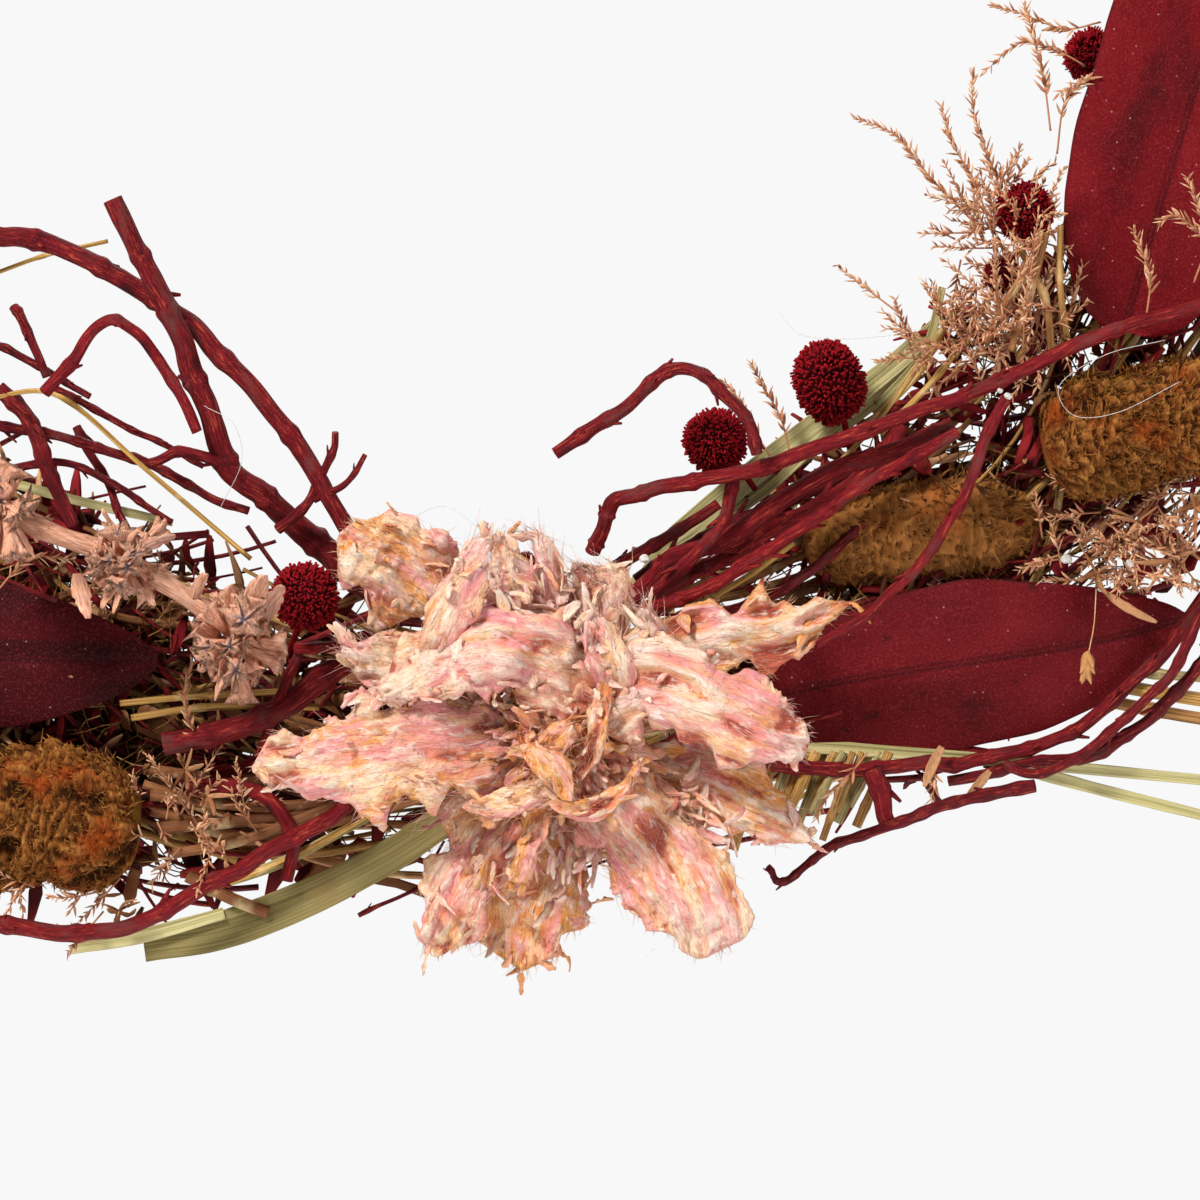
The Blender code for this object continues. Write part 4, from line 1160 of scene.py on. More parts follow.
def fluff(made, many, seed, long=(1.2, 3.6), thin=(0.06, 0.14), lift=0.16, ochre=0.0, part=(0.0, 1.0),
          height=0.7):
    """Fibres that lie along the petal's front, some of them standing off its margins."""
    rng = np.random.default_rng(seed)
    roots, ahead, outward = petal_spots(made, many, rng, part)
    way = ahead * rng.choice([1, 1, 1, -1], many)[:, None] + outward * lift * rng.uniform(0.2, 1.6, (many, 1))
    way = way + rng.normal(0, 0.3, (many, 3))
    bends = rng.normal(0, 0.35, (many, 3))
    shade = np.full(many, ochre)
    strand = strands(roots - outward * 0.3, way, bends, rng.uniform(*long, many),
                     rng.uniform(*thin, many), shade, rows=3)
    # The fibres' height mark sets their painted light and shade in the petal's finish: lower is darker.
    mark = strand[2].copy()
    mark[:, 0] = 0.5 + 0.3 * mark[:, 0]
    mark[:, 2] = height
    return (strand[0], strand[1], mark, strand[3], strand[4])


def flakes(roots, ways, bends, faces, length, half, shade, seed, ragged=0.25, bright=0.6, steps=9, sides=10):
    """Many curled flakes that face a way: half width is a power of sine, cupped, with ragged margins."""
    rng = np.random.default_rng(seed)
    many = len(roots)
    u = np.linspace(0, 1, steps)[None, :, None]
    reach = np.reshape(length, (-1, 1, 1))
    route = roots[:, None] + ways[:, None] * reach * u + np.asarray(bends)[:, None] * reach * u ** 2
    turn = circle(sides)
    half = np.reshape(half, (-1, 1, 1)) * np.sin(pi * (0.14 + 0.8 * u)) ** 0.7
    half = half * (1 + ragged * rng.normal(0, 1, (many, steps, 1)))
    cup = rng.uniform(-0.5, 0.5, (many, 1, 1))
    rise = 0.25 * np.sin(turn) + cup * half * np.cos(turn) ** 2
    # The mark is a height for painted light and shade: about the brightness, lighter on the side that faces
    # out, darker on the other.
    mark = np.clip(rng.normal(bright, 0.2, (many, 1, 1)) + 0.15 * np.sin(turn) + 0 * u, 0, 1)
    return loft(route, half * np.cos(turn), rise, hint=np.asarray(faces)[:, None] + 0 * route,
                shade=shade, edge=mark)


def shreds(made, many, seed, long=(3.0, 8.0), wide=(0.6, 1.9), ochre=0.2):
    """Torn shreds: small curled flakes that stand off the petal's front and margins."""
    rng = np.random.default_rng(seed)
    roots, ahead, outward = petal_spots(made, many, rng)
    way = unit(ahead * rng.choice([1, 1, -1], many)[:, None] + outward * rng.uniform(-0.1, 0.5, (many, 1))
               + rng.normal(0, 0.55, (many, 3)))
    bends = rng.normal(0, 0.3, (many, 3)) - outward * 0.15
    return flakes(roots - outward * 0.5, way, bends, outward, rng.uniform(*long, many),
                  rng.uniform(*wide, many), ochre, seed)


petal = petal_finish()
for number, (name, (path, crumple, ribs, ochre, thick, torn)) in enumerate(PETALS.items()):
    made = petal_skin(path, crumple, ribs, ochre, thick * 1.5, 400 + number * 11)
    skins = [made[0], fluff(made, 320, 500 + number, ochre=ochre),
             shreds(made, torn, 520 + number, ochre=ochre)]
    if name in LONG_HAIRED:
        skins.append(fluff(made, 260, 540 + number, (4, 10), (0.05, 0.11), 0.25, 0.0, (0.05, 0.5), 0.45))
    make_piece(name + "_fibre", skins, petal, stands_for=[name])
flaps = []
for number, (path, crumple, ribs, ochre, thick) in enumerate(LOOSE_FLAPS):
    made = petal_skin(path, crumple, ribs, ochre, thick, 600 + number * 11, 60, 48)
    flaps += [made[0], fluff(made, 220, 700 + number, (2, 7)), shreds(made, 14, 720 + number)]


def tufts(seed, many, middle, size, way, long, wide, ochre, bright):
    """Torn shreds of the inner petals, all brushed one way, with roots scattered through an ellipsoid."""
    rng = np.random.default_rng(seed)
    roots = np.array(middle) + rng.normal(0, 0.5, (many, 3)) * size
    ways = unit(np.array(way, float) + rng.normal(0, 0.4, (many, 3)))
    faces = rng.normal(0, 0.5, (many, 3)) + (0, 0, 1.0)
    return flakes(roots, ways, rng.normal(0, 0.7, (many, 3)) * (1, 1, 0.3), faces, rng.uniform(*long, many),
                  rng.uniform(*wide, many), ochre, seed + 1, 0.2, bright, 8, 8)


TUFTS = (
    # how many, middle, size, the way they are brushed, length, half width, ochre, brightness of their painted
    # light and shade
    (70, (28, -203, 81), (16, 12, 4), (-0.15, 1, 0.1), (3, 8), (0.6, 2.0), 0.0, 0.6),
    (30, (-8, -226, 75), (12, 10, 5), (-1, 0.1, 0.1), (3, 7), (0.6, 1.8), 0.0, 0.5),
    (40, (36, -262, 68), (14, 12, 5), (0, -1, 0.1), (3, 7), (0.5, 1.6), -0.4, 0.4),
    (28, (70, -252, 72), (12, 8, 4), (0.8, -0.7, 0.1), (3, 7), (0.6, 1.8), 0.1, 0.45),
    (30, (62, -222, 84), (14, 6, 3), (0.6, 0.8, 0.1), (3, 7), (0.5, 1.7), 0.0, 0.55),
)
flaps += [tufts(960 + 2 * number, *values) for number, values in enumerate(TUFTS)]
make_piece("petal_flaps", flaps, petal)
heart = []
for number, (path, crumple, ribs, ochre, thick) in enumerate(HEART):
    made = petal_skin(np.array(path) * (0.8, 1, 1, 1), crumple * 2.2, ribs, ochre, thick,
                      800 + number * 11, 60, 44)
    # The heart's height marks are lowered, so its flaps are painted darker as shade deep in the flower.
    made[0][2][:, 2] *= 0.7
    heart += [made[0], fluff(made, 160, 900 + number, (2, 6), ochre=0.9, height=0.5),
              shreds(made, 12, 920 + number, (2, 5), (0.4, 1.2), 0.8)]


def nest(many, seed, inner, outer, low, high, long, wide, ochre):
    """Torn bracts packed round the heart: they stand up and lean outwards, more so further out."""
    rng = np.random.default_rng(seed)
    turn = rng.uniform(0, 2 * pi, many)
    share = rng.uniform(0, 1, many) ** 0.7
    reach = inner + (outer - inner) * share
    ray = rays(turn)
    rise = (high + (low - high) * share)[:, None] * (0, 0, 1)
    roots = np.array([*FLOWER_PLACE, 0.0]) + ray * reach[:, None] + rise
    ways = unit(ray * (0.4 + share[:, None]) + (0, 0, 1) * rng.uniform(0.1, 0.8, (many, 1))
                + rng.normal(0, 0.35, (many, 3)))
    faces = unit((0, 0, 1.0) - ray * 0.5 + rng.normal(0, 0.3, (many, 3)))
    # The flakes' low brightness paints them dark, as shade packed round the heart.
    return flakes(roots, ways, ray * 0.2, faces, rng.uniform(*long, many), rng.uniform(*wide, many),
                  rng.uniform(0, ochre, many), seed + 1, 0.42, 0.25, 8, 9)


heart += [nest(190, 950, 4, 24, 66, 80, (5, 12), (0.9, 2.8), 0.9),
          nest(120, 952, 0, 15, 76, 82, (3, 8), (0.5, 1.6), 1.0)]
core_line = smooth_route([(*FLOWER_PLACE, out) for out in (30, 34, 60, 78, 82)], 40)
heart.append(tube(core_line, 6.5 * np.sin(np.linspace(0.5, pi - 0.5, 40)) ** 0.4, 20, hint=(0, 1, 0),
                  shade=1.0))
make_piece("flower_heart", heart, petal, stands_for=["flower_core"])


# ---- Seed head.
# A dried phlomis stem: square and fluted, pinkish tan, with three whorls of papery calyces. Each
# calyx is a ruffled, five-pointed cup, greyish lilac inside, among curled pointed bracts.
SEED_STEM = ((-122, -168, 68), (-103, -178, 69), (-84, -185, 70), (-65, -195.5, 70), (-50, -207, 69),
             (-47, -216, 68))
WHORLS = (
    # centre, reach, calyces
    ((-114, -173, 69), 11.0, 13),
    ((-80, -186.5, 70), 10.5, 15),
    ((-51, -208, 69), 12.5, 17),
)


def calyx_finish():
    """Papery: pinkish tan with darker veins, a pale rim, and grey lilac down inside each cup."""
    finish = Finish("tan_calyx", roughness=0.85, specular=0.06)
    grain, tone = finish.value("grain"), finish.value("tone")
    vein = finish.noise(grain, 1.0, (0.3, 2.4, 2.4), 5.0)
    cloud = finish.noise(grain, 0.2, detail=4.0)
    colour = finish.ramp(vein, (0.3, "966858"), (0.5, "DE9F80"), (0.72, "F0CDB6"))
    colour = finish.tint(colour, "C89A84", cloud, 0.5, 0.7)
    colour = finish.tint(colour, "9A6A54", finish.part(tone, 0), 0.45, 0.0, 0.6)
    colour = finish.tint(colour, "6E6068", finish.part(tone, 2), 0.35, 0.8)
    return finish.use(Base_Color=colour, Normal=finish.bump(vein, 0.4))


def calyces(centre, ways, reach, seed):
    """Ruffled cups: the radius flares, and near the mouth it follows 1 + cos(5 turn)."""
    rng = np.random.default_rng(seed)
    many = len(ways)
    u = np.linspace(0, 1, 10)[None, :, None]
    length = reach * rng.uniform(0.5, 0.8, (many, 1, 1))
    roots = centre + ways * reach * rng.uniform(0.2, 0.4, (many, 1))
    bends = rng.normal(0, 0.2, (many, 1, 3))
    route = roots[:, None] + ways[:, None] * length * u + bends * length * u ** 2
    turn = circle(25)
    phase = rng.uniform(0, 2 * pi, (many, 1, 1))
    lobes = 0.42 * np.cos(5 * turn + phase) + 0.16 * np.cos(11 * turn + 2 * phase)
    mouth = reach * rng.uniform(0.22, 0.36, (many, 1, 1))
    girth = mouth * (0.3 + 0.5 * u ** 0.8 + 0.35 * u ** 6) * (1 + 1.25 * lobes * u ** 3)
    flat = rng.uniform(0.55, 1.0, (many, 1, 1))
    return loft(route, girth * np.cos(turn), girth * np.sin(turn) * flat,
                hint=rng.normal(0, 1, (many, 1, 3)) + 0 * route, sunk=reach * 0.22, cut=1.0)


def seed_head_skins():
    """A fluted square stem, three whorls of calyces and the bracts that stand out of them."""
    rng = np.random.default_rng(7)
    line = smooth_route(SEED_STEM, 90)
    turn = circle(24)
    fluted = 1 + 0.12 * np.cos(4 * turn) + 0.06 * np.cos(12 * turn)
    swell = 1 + 0.06 * np.sin(np.linspace(0, 40, 90))[:, None]
    girth = 2.3 * fluted * swell
    skins = [tube(line, girth, 24)]
    for number, (centre, reach, many) in enumerate(WHORLS):
        centre = np.asarray(centre, float)
        ways = golden_directions(many * 2)
        ways = ways[ways[:, 2] > -0.35]
        ways = unit(ways + rng.normal(0, 0.25, ways.shape))
        skins.append(calyces(centre, ways, reach, 20 + number))
        leafy = golden_directions(18)
        leafy = leafy[leafy[:, 2] > -0.5]
        leafy = unit(leafy + rng.normal(0, 0.3, leafy.shape))
        skins.append(flakes(centre + leafy * 2, leafy, rng.normal(0, 0.3, leafy.shape),
                            rng.normal(0, 1, leafy.shape), reach * rng.uniform(0.7, 1.1, len(leafy)),
                            rng.uniform(0.9, 2.0, len(leafy)), 0.5, 30 + number, 0.15, 0.1, 12, 12))
    standing = np.array([(-47, -205, 72), (-50, -203, 71), (-44, -203, 70), (-93, -190, 70),
                         (-62, -197, 72)], float)
    ways = unit(np.array([(0.15, 1, 0.3), (-0.3, 1, 0.3), (0.4, 1, 0.1), (0.2, -1, 0.5), (0.3, 0.9, 0.4)]))
    skins.append(flakes(standing, ways, ways * 0 + (0.1, -0.1, 0.2), ways * 0 + (0.4, 0, 1),
                        np.array([17, 12, 12, 12, 9.0]), np.array([3.6, 2.6, 2.6, 2.6, 2.0]), 0.5, 40,
                        0.08, 0.1, 16, 16))
    return skins


make_piece("seed_head_calyces", seed_head_skins(), calyx_finish(), stands_for=["seed_head"])


# ---- Grass-seed sprays.
# Airy panicles of dried grass: hair-thin stems with rows of feathery husks, peach and tan. They are
# tucked in behind the twigs in clumps. One husk has come loose and hangs from a thread.
def husk_finish(name, dark, middle, pale):
    """Papery husks: darker at the foot, paler at the tip, partly their own colour and partly a painted sheen,
    with fine veins.
    """
    finish = Finish(name, roughness=0.75, specular=0.1)
    grain, tone = finish.value("grain"), finish.value("tone")
    vein = finish.noise(grain, 1.4, (0.4, 3.0, 3.0), 3.0)
    colour = finish.ramp(finish.part(tone, 1), (0.0, dark), (0.5, middle), (1.0, pale))
    colour = finish.tint(colour, dark, vein, 0.55, 0.3, 0.5)
    # Paler towards the tip: partly the husk's own colour, partly painted sheen.
    colour = finish.tint(colour, pale, finish.part(tone, 0), 0.6, 1.0, 0.4)
    return finish.use(Base_Color=colour, Normal=finish.bump(vein, 0.15))


def husks(roots, ways, faces, length, half, shade, seed, rows=4):
    """Small lens-shaped husks: half width is sin(pi u), a little hollow, with a drawn-out tip."""
    rng = np.random.default_rng(seed)
    many = len(roots)
    u = np.linspace(0, 1, rows)[None, :, None]
    reach = np.reshape(length, (-1, 1, 1))
    bends = rng.normal(0, 0.12, (many, 1, 3)) + faces[:, None] * 0.12
    route = roots[:, None] + ways[:, None] * reach * u + bends * reach * u ** 2
    turn = circle(4)
    girth = np.reshape(half, (-1, 1, 1)) * (np.sin(pi * (0.1 + 0.84 * u ** 0.8)) ** 1.2)
    return loft(route, girth * np.cos(turn), 0.55 * girth * np.sin(turn), hint=faces[:, None] + 0 * route,
                shade=shade)


def spray(route, seed, husk=(2.0, 4.0), wide=(0.4, 0.75), gap=0.85, bare=0.3, stem=0.28, splay=0.6,
          shade=0.5):
    """One panicle: a stem along a route and husks that alternate round its upper part."""
    rng = np.random.default_rng(seed)
    route = np.asarray(route, float)
    length = np.linalg.norm(np.diff(route, axis=0), axis=1).sum()
    rows = max(int(length / 1.6), 8)
    line = smooth_route(route, rows)
    skins = [tube(line, np.linspace(stem, stem * 0.5, rows), 4, shade=shade * 0.7)]
    many = max(int(length * (1 - bare) / gap), 2)
    share = bare + (1 - bare) * (np.arange(many) + rng.uniform(0, 1, many)) / many
    spot = share * (rows - 1)
    low = np.minimum(spot.astype(int), rows - 2)
    roots = line[low] + (line[low + 1] - line[low]) * (spot - low)[:, None]
    ahead = unit(np.gradient(line, axis=0))[low]
    turn = np.arange(many) * 2.4 + rng.uniform(0, 1, many)
    side = unit(np.cross(ahead, (0.2, 0.1, 1.0)))
    other = np.cross(side, ahead)
    round_stem = side * np.cos(turn)[:, None] + other * np.sin(turn)[:, None]
    ways = unit(ahead + round_stem * splay * rng.uniform(0.6, 1.3, (many, 1)))
    scale = 1.15 - 0.5 * (share - bare) / (1 - bare)
    skins.append(husks(roots, ways, round_stem, rng.uniform(*husk, many) * scale,
                       rng.uniform(*wide, many) * scale, np.clip(rng.normal(shade, 0.25, many), 0, 1),
                       seed + 1))
    return skins


def clump(centre, size, many, seed, way=(0, 1, 0), spread=0.8, long=(12, 28), **more):
    """Sprays whose feet are scattered through an ellipsoid and which fan out round one direction."""
    rng = np.random.default_rng(seed)
    skins = []
    for number in range(many):
        foot = np.asarray(centre) + rng.normal(0, 0.5, 3) * size
        aim = unit(np.asarray(way, float) + rng.normal(0, spread, 3) * (1, 1, 0.5))
        reach = rng.uniform(*long)
        bow = rng.normal(0, 0.3, 3) * reach
        route = [foot, foot + aim * reach * 0.5 + bow * 0.3, foot + aim * reach + bow * 0.8]
        skins += spray(route, seed * 100 + number, **more)
    return skins


SINGLE_SPRAYS = (
    ((150, -98, 44), (136, -84, 46), (126, -72, 48), (114.5, -67, 49)),
    ((152, -98, 44), (147, -84, 46), (141, -74, 48), (138, -64, 48)),
    ((158, -96, 42), (152, -80, 44), (147, -66, 46), (146.5, -54, 46)),
    ((168, -70, 40), (166, -56, 42), (163, -44, 42), (161, -36, 42)),
    ((170, -76, 36), (172, -62, 38), (178, -56, 40), (170, -60, 42)),
    ((178, -52, 34), (170, -48, 36), (160, -46, 38), (150, -54, 38)),
    ((182, -40, 34), (172, -42, 36), (160, -38, 38), (152, -36, 40)),
    ((98, -160, 40), (95, -148, 41), (90, -139, 43), (87, -133, 44)),
    ((92, -158, 41), (87, -150, 42), (83, -142, 43), (79, -138, 43)),
    ((205, -112, 60), (208, -102, 62), (206, -92, 62), (203, -84, 62)),
    ((192, -122, 62), (193, -112, 63), (191, -104, 63), (188.5, -98, 63)),
    ((214, -104, 58), (206, -98, 60), (200, -94, 60), (196, -96, 60)),
    ((-118, -196, 46), (-108, -186, 47), (-96, -186, 47)),
    ((-60, -238, 44), (-64, -232, 47), (-66, -222, 48), (-64, -214, 48)),
    ((118, -238, 52), (113, -244, 53), (107, -250, 54), (104, -256, 54)),
    ((136, -240, 50), (136, -246, 51), (135, -253, 52)),
)
SPRAY_CLUMPS = (
    # middle, size, how many, the way they lean, spread, length of a spray
    ((156, -104, 40), (16, 22, 12), 62, (-0.3, 0.6, 0.2), 1.0, (8, 19)),
    ((158, -124, 42), (18, 12, 10), 56, (-0.4, 0.3, 0.3), 0.9, (10, 22)),
    ((140, -130, 42), (12, 8, 8), 16, (-0.6, 0.5, 0.2), 0.6, (10, 20)),
    ((196, -178, 46), (16, 16, 8), 46, (-0.3, -0.2, 0.4), 0.9, (8, 20)),
    ((180, -182, 40), (12, 8, 6), 14, (-0.5, -0.4, 0.2), 0.7, (10, 20)),
    ((-62, -258, 40), (18, 10, 6), 26, (-0.2, 0.3, 0.5), 0.9, (8, 18)),
    ((-95, -274, 40), (20, 10, 6), 16, (-0.5, -0.5, 0.3), 0.8, (8, 18)),
    ((-84, -204, 20), (18, 14, 6), 18, (0.4, 0.6, 0.1), 0.9, (8, 18)),
)


def all_sprays():
    """The single sprays, then the clumps of them behind the twigs and round the leaves."""
    skins = []
    for number, route in enumerate(SINGLE_SPRAYS):
        skins += spray(route, 1500 + number, (2.6, 4.2), (0.45, 0.8), 0.75, 0.2)
    for number, values in enumerate(SPRAY_CLUMPS):
        middle, size, many, way, spread, long = values
        skins += clump(middle, size, many, 11 + number, way, spread, long)
    return skins


peach_husk = husk_finish("grass_seed", "8E5438", "D2946E", "F4CCA4")
make_piece("grass_sprays", all_sprays(), peach_husk)


def dangling_skins():
    """The loose husk: a hair-thin thread, then eight long glumes that overlap in two rows."""
    low, high = (corners("dangling_spikelet").min(0), corners("dangling_spikelet").max(0))
    top = np.array([high[0] - 0.6, high[1], (low[2] + high[2]) / 2])
    foot = np.array([low[0] + 2.0, low[1], top[2]])
    line = smooth_route([top, top + (foot - top) * 0.35 + (0.5, 0, 0), top + (foot - top) * 0.62], 24)
    many = 9
    share = np.linspace(0, 0.55, many)[:, None]
    roots = line[-1] + (foot - line[-1]) * share
    side = np.where(np.arange(many) % 2, 1.0, -1.0)[:, None]
    ways = unit(unit(foot - top) + side * (0.32, 0.0, 0.1))
    faces = 0 * ways + (0.1, 0, 1.0)
    glumes = husks(roots, ways, faces, np.linspace(4.6, 4.0, many), np.linspace(1.2, 0.8, many), 0.55, 5, 12)
    return [tube(line, 0.16, 5, shade=0.9), glumes]


orange_husk = husk_finish("orange_husk", "7E4A26", "BC8450", "E6BE88")
make_piece("dangling_husk", dangling_skins(), orange_husk, "spikelet", ["dangling_spikelet"])


# ---- Loose straws, grass blades and the matting between the pieces.
# Stalks and split blades laid in by hand along the ring, cut off short, over a mat of thin stems,
# rootlets and moss that hides the canes. The top of the ring is left bare under its loop.
LOOSE_STRAWS = (
    # radius, shade, route
    (0.9, 0.45, ((-84, -225, 39), (-62, -223, 41), (-33, -221.5, 41))),
    (1.0, 0.5, ((-81, -229, 38), (-60, -226, 41), (-30, -226, 40))),
    (1.6, 0.95, ((-76, -250, 36), (-40, -253, 37), (4, -246, 36))),
    (1.3, 0.85, ((-78, -247, 34), (-40, -259, 36), (2, -250, 36))),
    (1.9, 1.0, ((-74, -259, 35), (-44, -256, 36), (-6, -250, 36))),
    (1.5, 0.85, ((-70, -266, 34), (-50, -262, 37), (-24, -252, 38))),
    (1.8, 0.95, ((-66, -272, 36), (-54, -278, 37), (-44, -282, 37))),
    (0.9, 0.4, ((-61, -276, 38), (-36, -266, 38), (-11, -252, 38))),
    (1.6, 0.95, ((-78, -243, 32), (-50, -246, 34), (-14, -243, 34))),
    (1.9, 0.9, ((-76, -254, 33), (-44, -262, 34), (-12, -250, 34))),
    (0.7, 0.4, ((-120, -143, 52), (-100, -142, 52), (-76, -162, 52), (-48, -186, 50))),
    (0.6, 0.4, ((-118, -109, 44), (-104, -104, 44), (-87, -100, 43))),
    (1.3, 0.75, ((157, -130, 47), (162, -114, 49), (166, -98, 50))),
    (1.1, 0.7, ((168, -132, 46), (166, -116, 49), (159, -102, 50))),
    (1.2, 0.8, ((150, -128, 46), (156, -116, 49), (164, -104, 50))),
    (0.9, 0.6, ((172, -126, 46), (170, -112, 49), (170, -96, 50))),
    (2.0, 0.5, ((158, -215, 24), (196, -222, 31), (222, -226, 35))),
    (1.8, 0.7, ((158, -219, 24), (196, -227, 31), (220, -231, 34))),
    (1.4, 0.15, ((158, -212, 25), (196, -217, 32), (224, -219, 35))),
    (1.0, 0.4, ((118, -150, 34), (132, -136, 35), (140, -122, 35))),
    (0.9, 0.45, ((122, -152, 35), (136, -138, 36), (147, -124, 36))),
    (0.8, 0.35, ((98, -172, 34), (120, -150, 35), (142, -119, 36))),
)
PALE_BLADES = (
    # half width, shade, route
    (1.9, 1.0, ((96, -236, 42), (135, -239, 41), (165, -241.5, 41), (212, -246, 40))),
    (1.8, 1.0, ((158, -242, 40), (182, -248.5, 40), (212, -256, 40))),
    (2.2, 0.9, ((-98, -291, 36), (-78, -288, 36), (-56, -282, 36))),
    (1.5, 0.9, ((-64, -276, 36), (-40, -268, 36), (-10, -252, 36))),
    (1.5, 0.8, ((64, -184, 32), (90, -168, 32), (118, -142, 32))),
    (2.2, 0.9, ((48, -200, 28), (72, -178, 28), (96, -156, 29))),
    (1.4, 0.7, ((-118, -164, 34), (-96, -170, 34), (-70, -176, 34))),
    (1.4, 0.8, ((120, -146, 32), (134, -130, 33), (139, -112, 34))),
)


def loose_straw_skins():
    """The straws that were laid in by hand."""
    skins = []
    for number, (radius, shade, route) in enumerate(LOOSE_STRAWS):
        skins.append(straw_skins(smooth_route(route, 30)[None], [radius], shade, 1200 + number))
    return skins


def cut_ends():
    """A sheaf of cut straw whose mouths point down and left beneath the right-hand leaf."""
    rng = np.random.default_rng(77)
    many = 15
    share = np.linspace(0, 1, many)
    top = np.stack([90 + 34 * share, -238 + 0 * share, rng.uniform(38, 47, many)], -1)
    reach = rng.uniform(17, 28, many)
    way = unit(np.stack([-0.42 + rng.normal(0, 0.07, many), -1 + 0 * share, 0.06 + 0 * share], -1))
    route = top[:, None] + way[:, None] * reach[:, None, None] * np.linspace(0, 1, 12)[None, :, None]
    return straw_skins(route, rng.uniform(0.8, 1.7, many), rng.choice([0.05, 0.1, 0.15, 0.5, 0.62], many), 78)


def mat_routes(many, long, spread, out, deep, stray, seed, rows=9, radius=MID_RADIUS - 4.0,
               arc=(100.0, 440.0)):
    """Short routes that lie roughly along the ring: straying is the spread of their direction."""
    rng = np.random.default_rng(seed)
    angle = np.radians(rng.uniform(*arc, many))
    ray = rays(angle)
    along = np.stack([-np.sin(angle), np.cos(angle), 0 * angle], -1) * rng.choice([-1, 1], many)[:, None]
    way = unit(along + ray * rng.normal(0, stray, (many, 1))
               + (0, 0, 1) * rng.normal(0, stray * 0.4, (many, 1)))
    spot = np.clip(rng.normal(0, 0.5, (many, 2)), -0.75, 0.75)
    start = ray * (radius + spot[:, :1] * spread) + (0, 0, 1) * (out + spot[:, 1:] * deep)
    reach = rng.uniform(*long, many)[:, None, None]
    u = np.linspace(-0.5, 0.5, rows)[None, :, None]
    bow = (-ray[:, None] * reach * 0.002 + rng.normal(0, 0.06, (many, 1, 3))) * reach
    return start[:, None] + way[:, None] * reach * u + bow * (u ** 2 - 0.1) * 2


mat_seed = 900
# How many straws, twigs and moss fibres there are, the last two round the whole ring, at the lower
# left and at the lower right.
MAT_STRAWS = 420
MAT_TWIGS = (700, 120, 80)
MAT_MOSS = (2400, 800, 600)
lower_left = {"radius": 246.0, "arc": (226.0, 256.0)}
lower_right = {"radius": 232.0, "arc": (298.0, 328.0)}
make_piece("loose_straws", loose_straw_skins() + [cut_ends()], straw)
make_piece("pale_blades", [strap_skin(route, half, shade, 1300 + number, 0.3, 50, 16, 0.4)
                           for number, (half, shade, route) in enumerate(PALE_BLADES)], strap)
rng = np.random.default_rng(mat_seed)
routes = mat_routes(MAT_STRAWS, (40, 120), 40, 17, 13, 0.16, mat_seed + 1, 10)
make_piece("straw_mat", [straw_skins(routes, rng.uniform(0.5, 1.3, MAT_STRAWS),
                                     rng.uniform(0.3, 1, MAT_STRAWS), 5, 5)], straw)
routes = np.concatenate([mat_routes(MAT_TWIGS[0], (25, 80), 48, 18, 18, 0.4, mat_seed + 2, 9),
                         mat_routes(MAT_TWIGS[1], (20, 60), 56, 16, 18, 0.5, mat_seed + 4, 9, **lower_left),
                         mat_routes(MAT_TWIGS[2], (20, 60), 56, 16, 18, 0.5, mat_seed + 6, 9, **lower_right)])
girth = rng.uniform(0.4, 1.3, (sum(MAT_TWIGS), 1)) * np.linspace(1, 0.6, 9)
make_piece("twig_mat", [tube(routes, girth[..., None] * np.ones(5), 5,
                             shade=rng.uniform(0, 0.6, sum(MAT_TWIGS)), cut=1.0)], bark)


def moss_finish():
    """Brown fibres, dark and pale, with dark flecks."""
    finish = Finish("moss", roughness=0.95, specular=0.1)
    grain, tone = finish.value("grain"), finish.value("tone")
    fine = finish.noise(grain, 0.8, detail=3.0)
    colour = finish.ramp(finish.part(tone, 1), (0.0, "2E1A0C"), (0.4, "64421F"), (0.7, "946636"),
                         (1.0, "BE9258"))
    return finish.use(Base_Color=finish.tint(colour, "2A180C", fine, 0.6, 0.3))


routes = np.concatenate([mat_routes(MAT_MOSS[0], (6, 20), 38, 14, 24, 1.6, mat_seed + 3, 4),
                         mat_routes(MAT_MOSS[1], (6, 18), 46, 14, 22, 1.6, mat_seed + 5, 4, **lower_left),
                         mat_routes(MAT_MOSS[2], (6, 18), 46, 14, 22, 1.6, mat_seed + 7, 4, **lower_right)])
routes += np.cumsum(rng.normal(0, 0.8, routes.shape), 1)
make_piece("moss_mat", [tube(routes, 0.24 * np.ones((*routes.shape[:2], 3)), 3,
                             shade=rng.uniform(0, 1, len(routes)) ** 1.3)], moss_finish())


def crumbs(many, spread, out, deep, long, wide, seed, pale=1.0, flat=0.5, **more):
    """Crumpled dry bits that have settled among the stems: bracts, bark flakes and broken leaf."""
    rng = np.random.default_rng(seed)
    routes = mat_routes(many, (1, 2), spread, out, deep, 1.0, seed + 1, 2, **more)
    ways = unit(rng.normal(0, 1, (many, 3)) * (1, 1, flat))
    return flakes(routes[:, 0], ways, rng.normal(0, 0.3, (many, 3)),
                  rng.normal(0, 1, (many, 3)) + (0, 0, 1.0), rng.uniform(*long, many),
                  rng.uniform(*wide, many), rng.uniform(0, pale, many), seed + 2, 0.2, 0.5, 5, 6)


tan_crumb = husk_finish("dry_bract", "3A1E12", "96603C", "D09C72")
red_crumb = husk_finish("dyed_bract", "2A060A", "6A1018", "A02A2C")
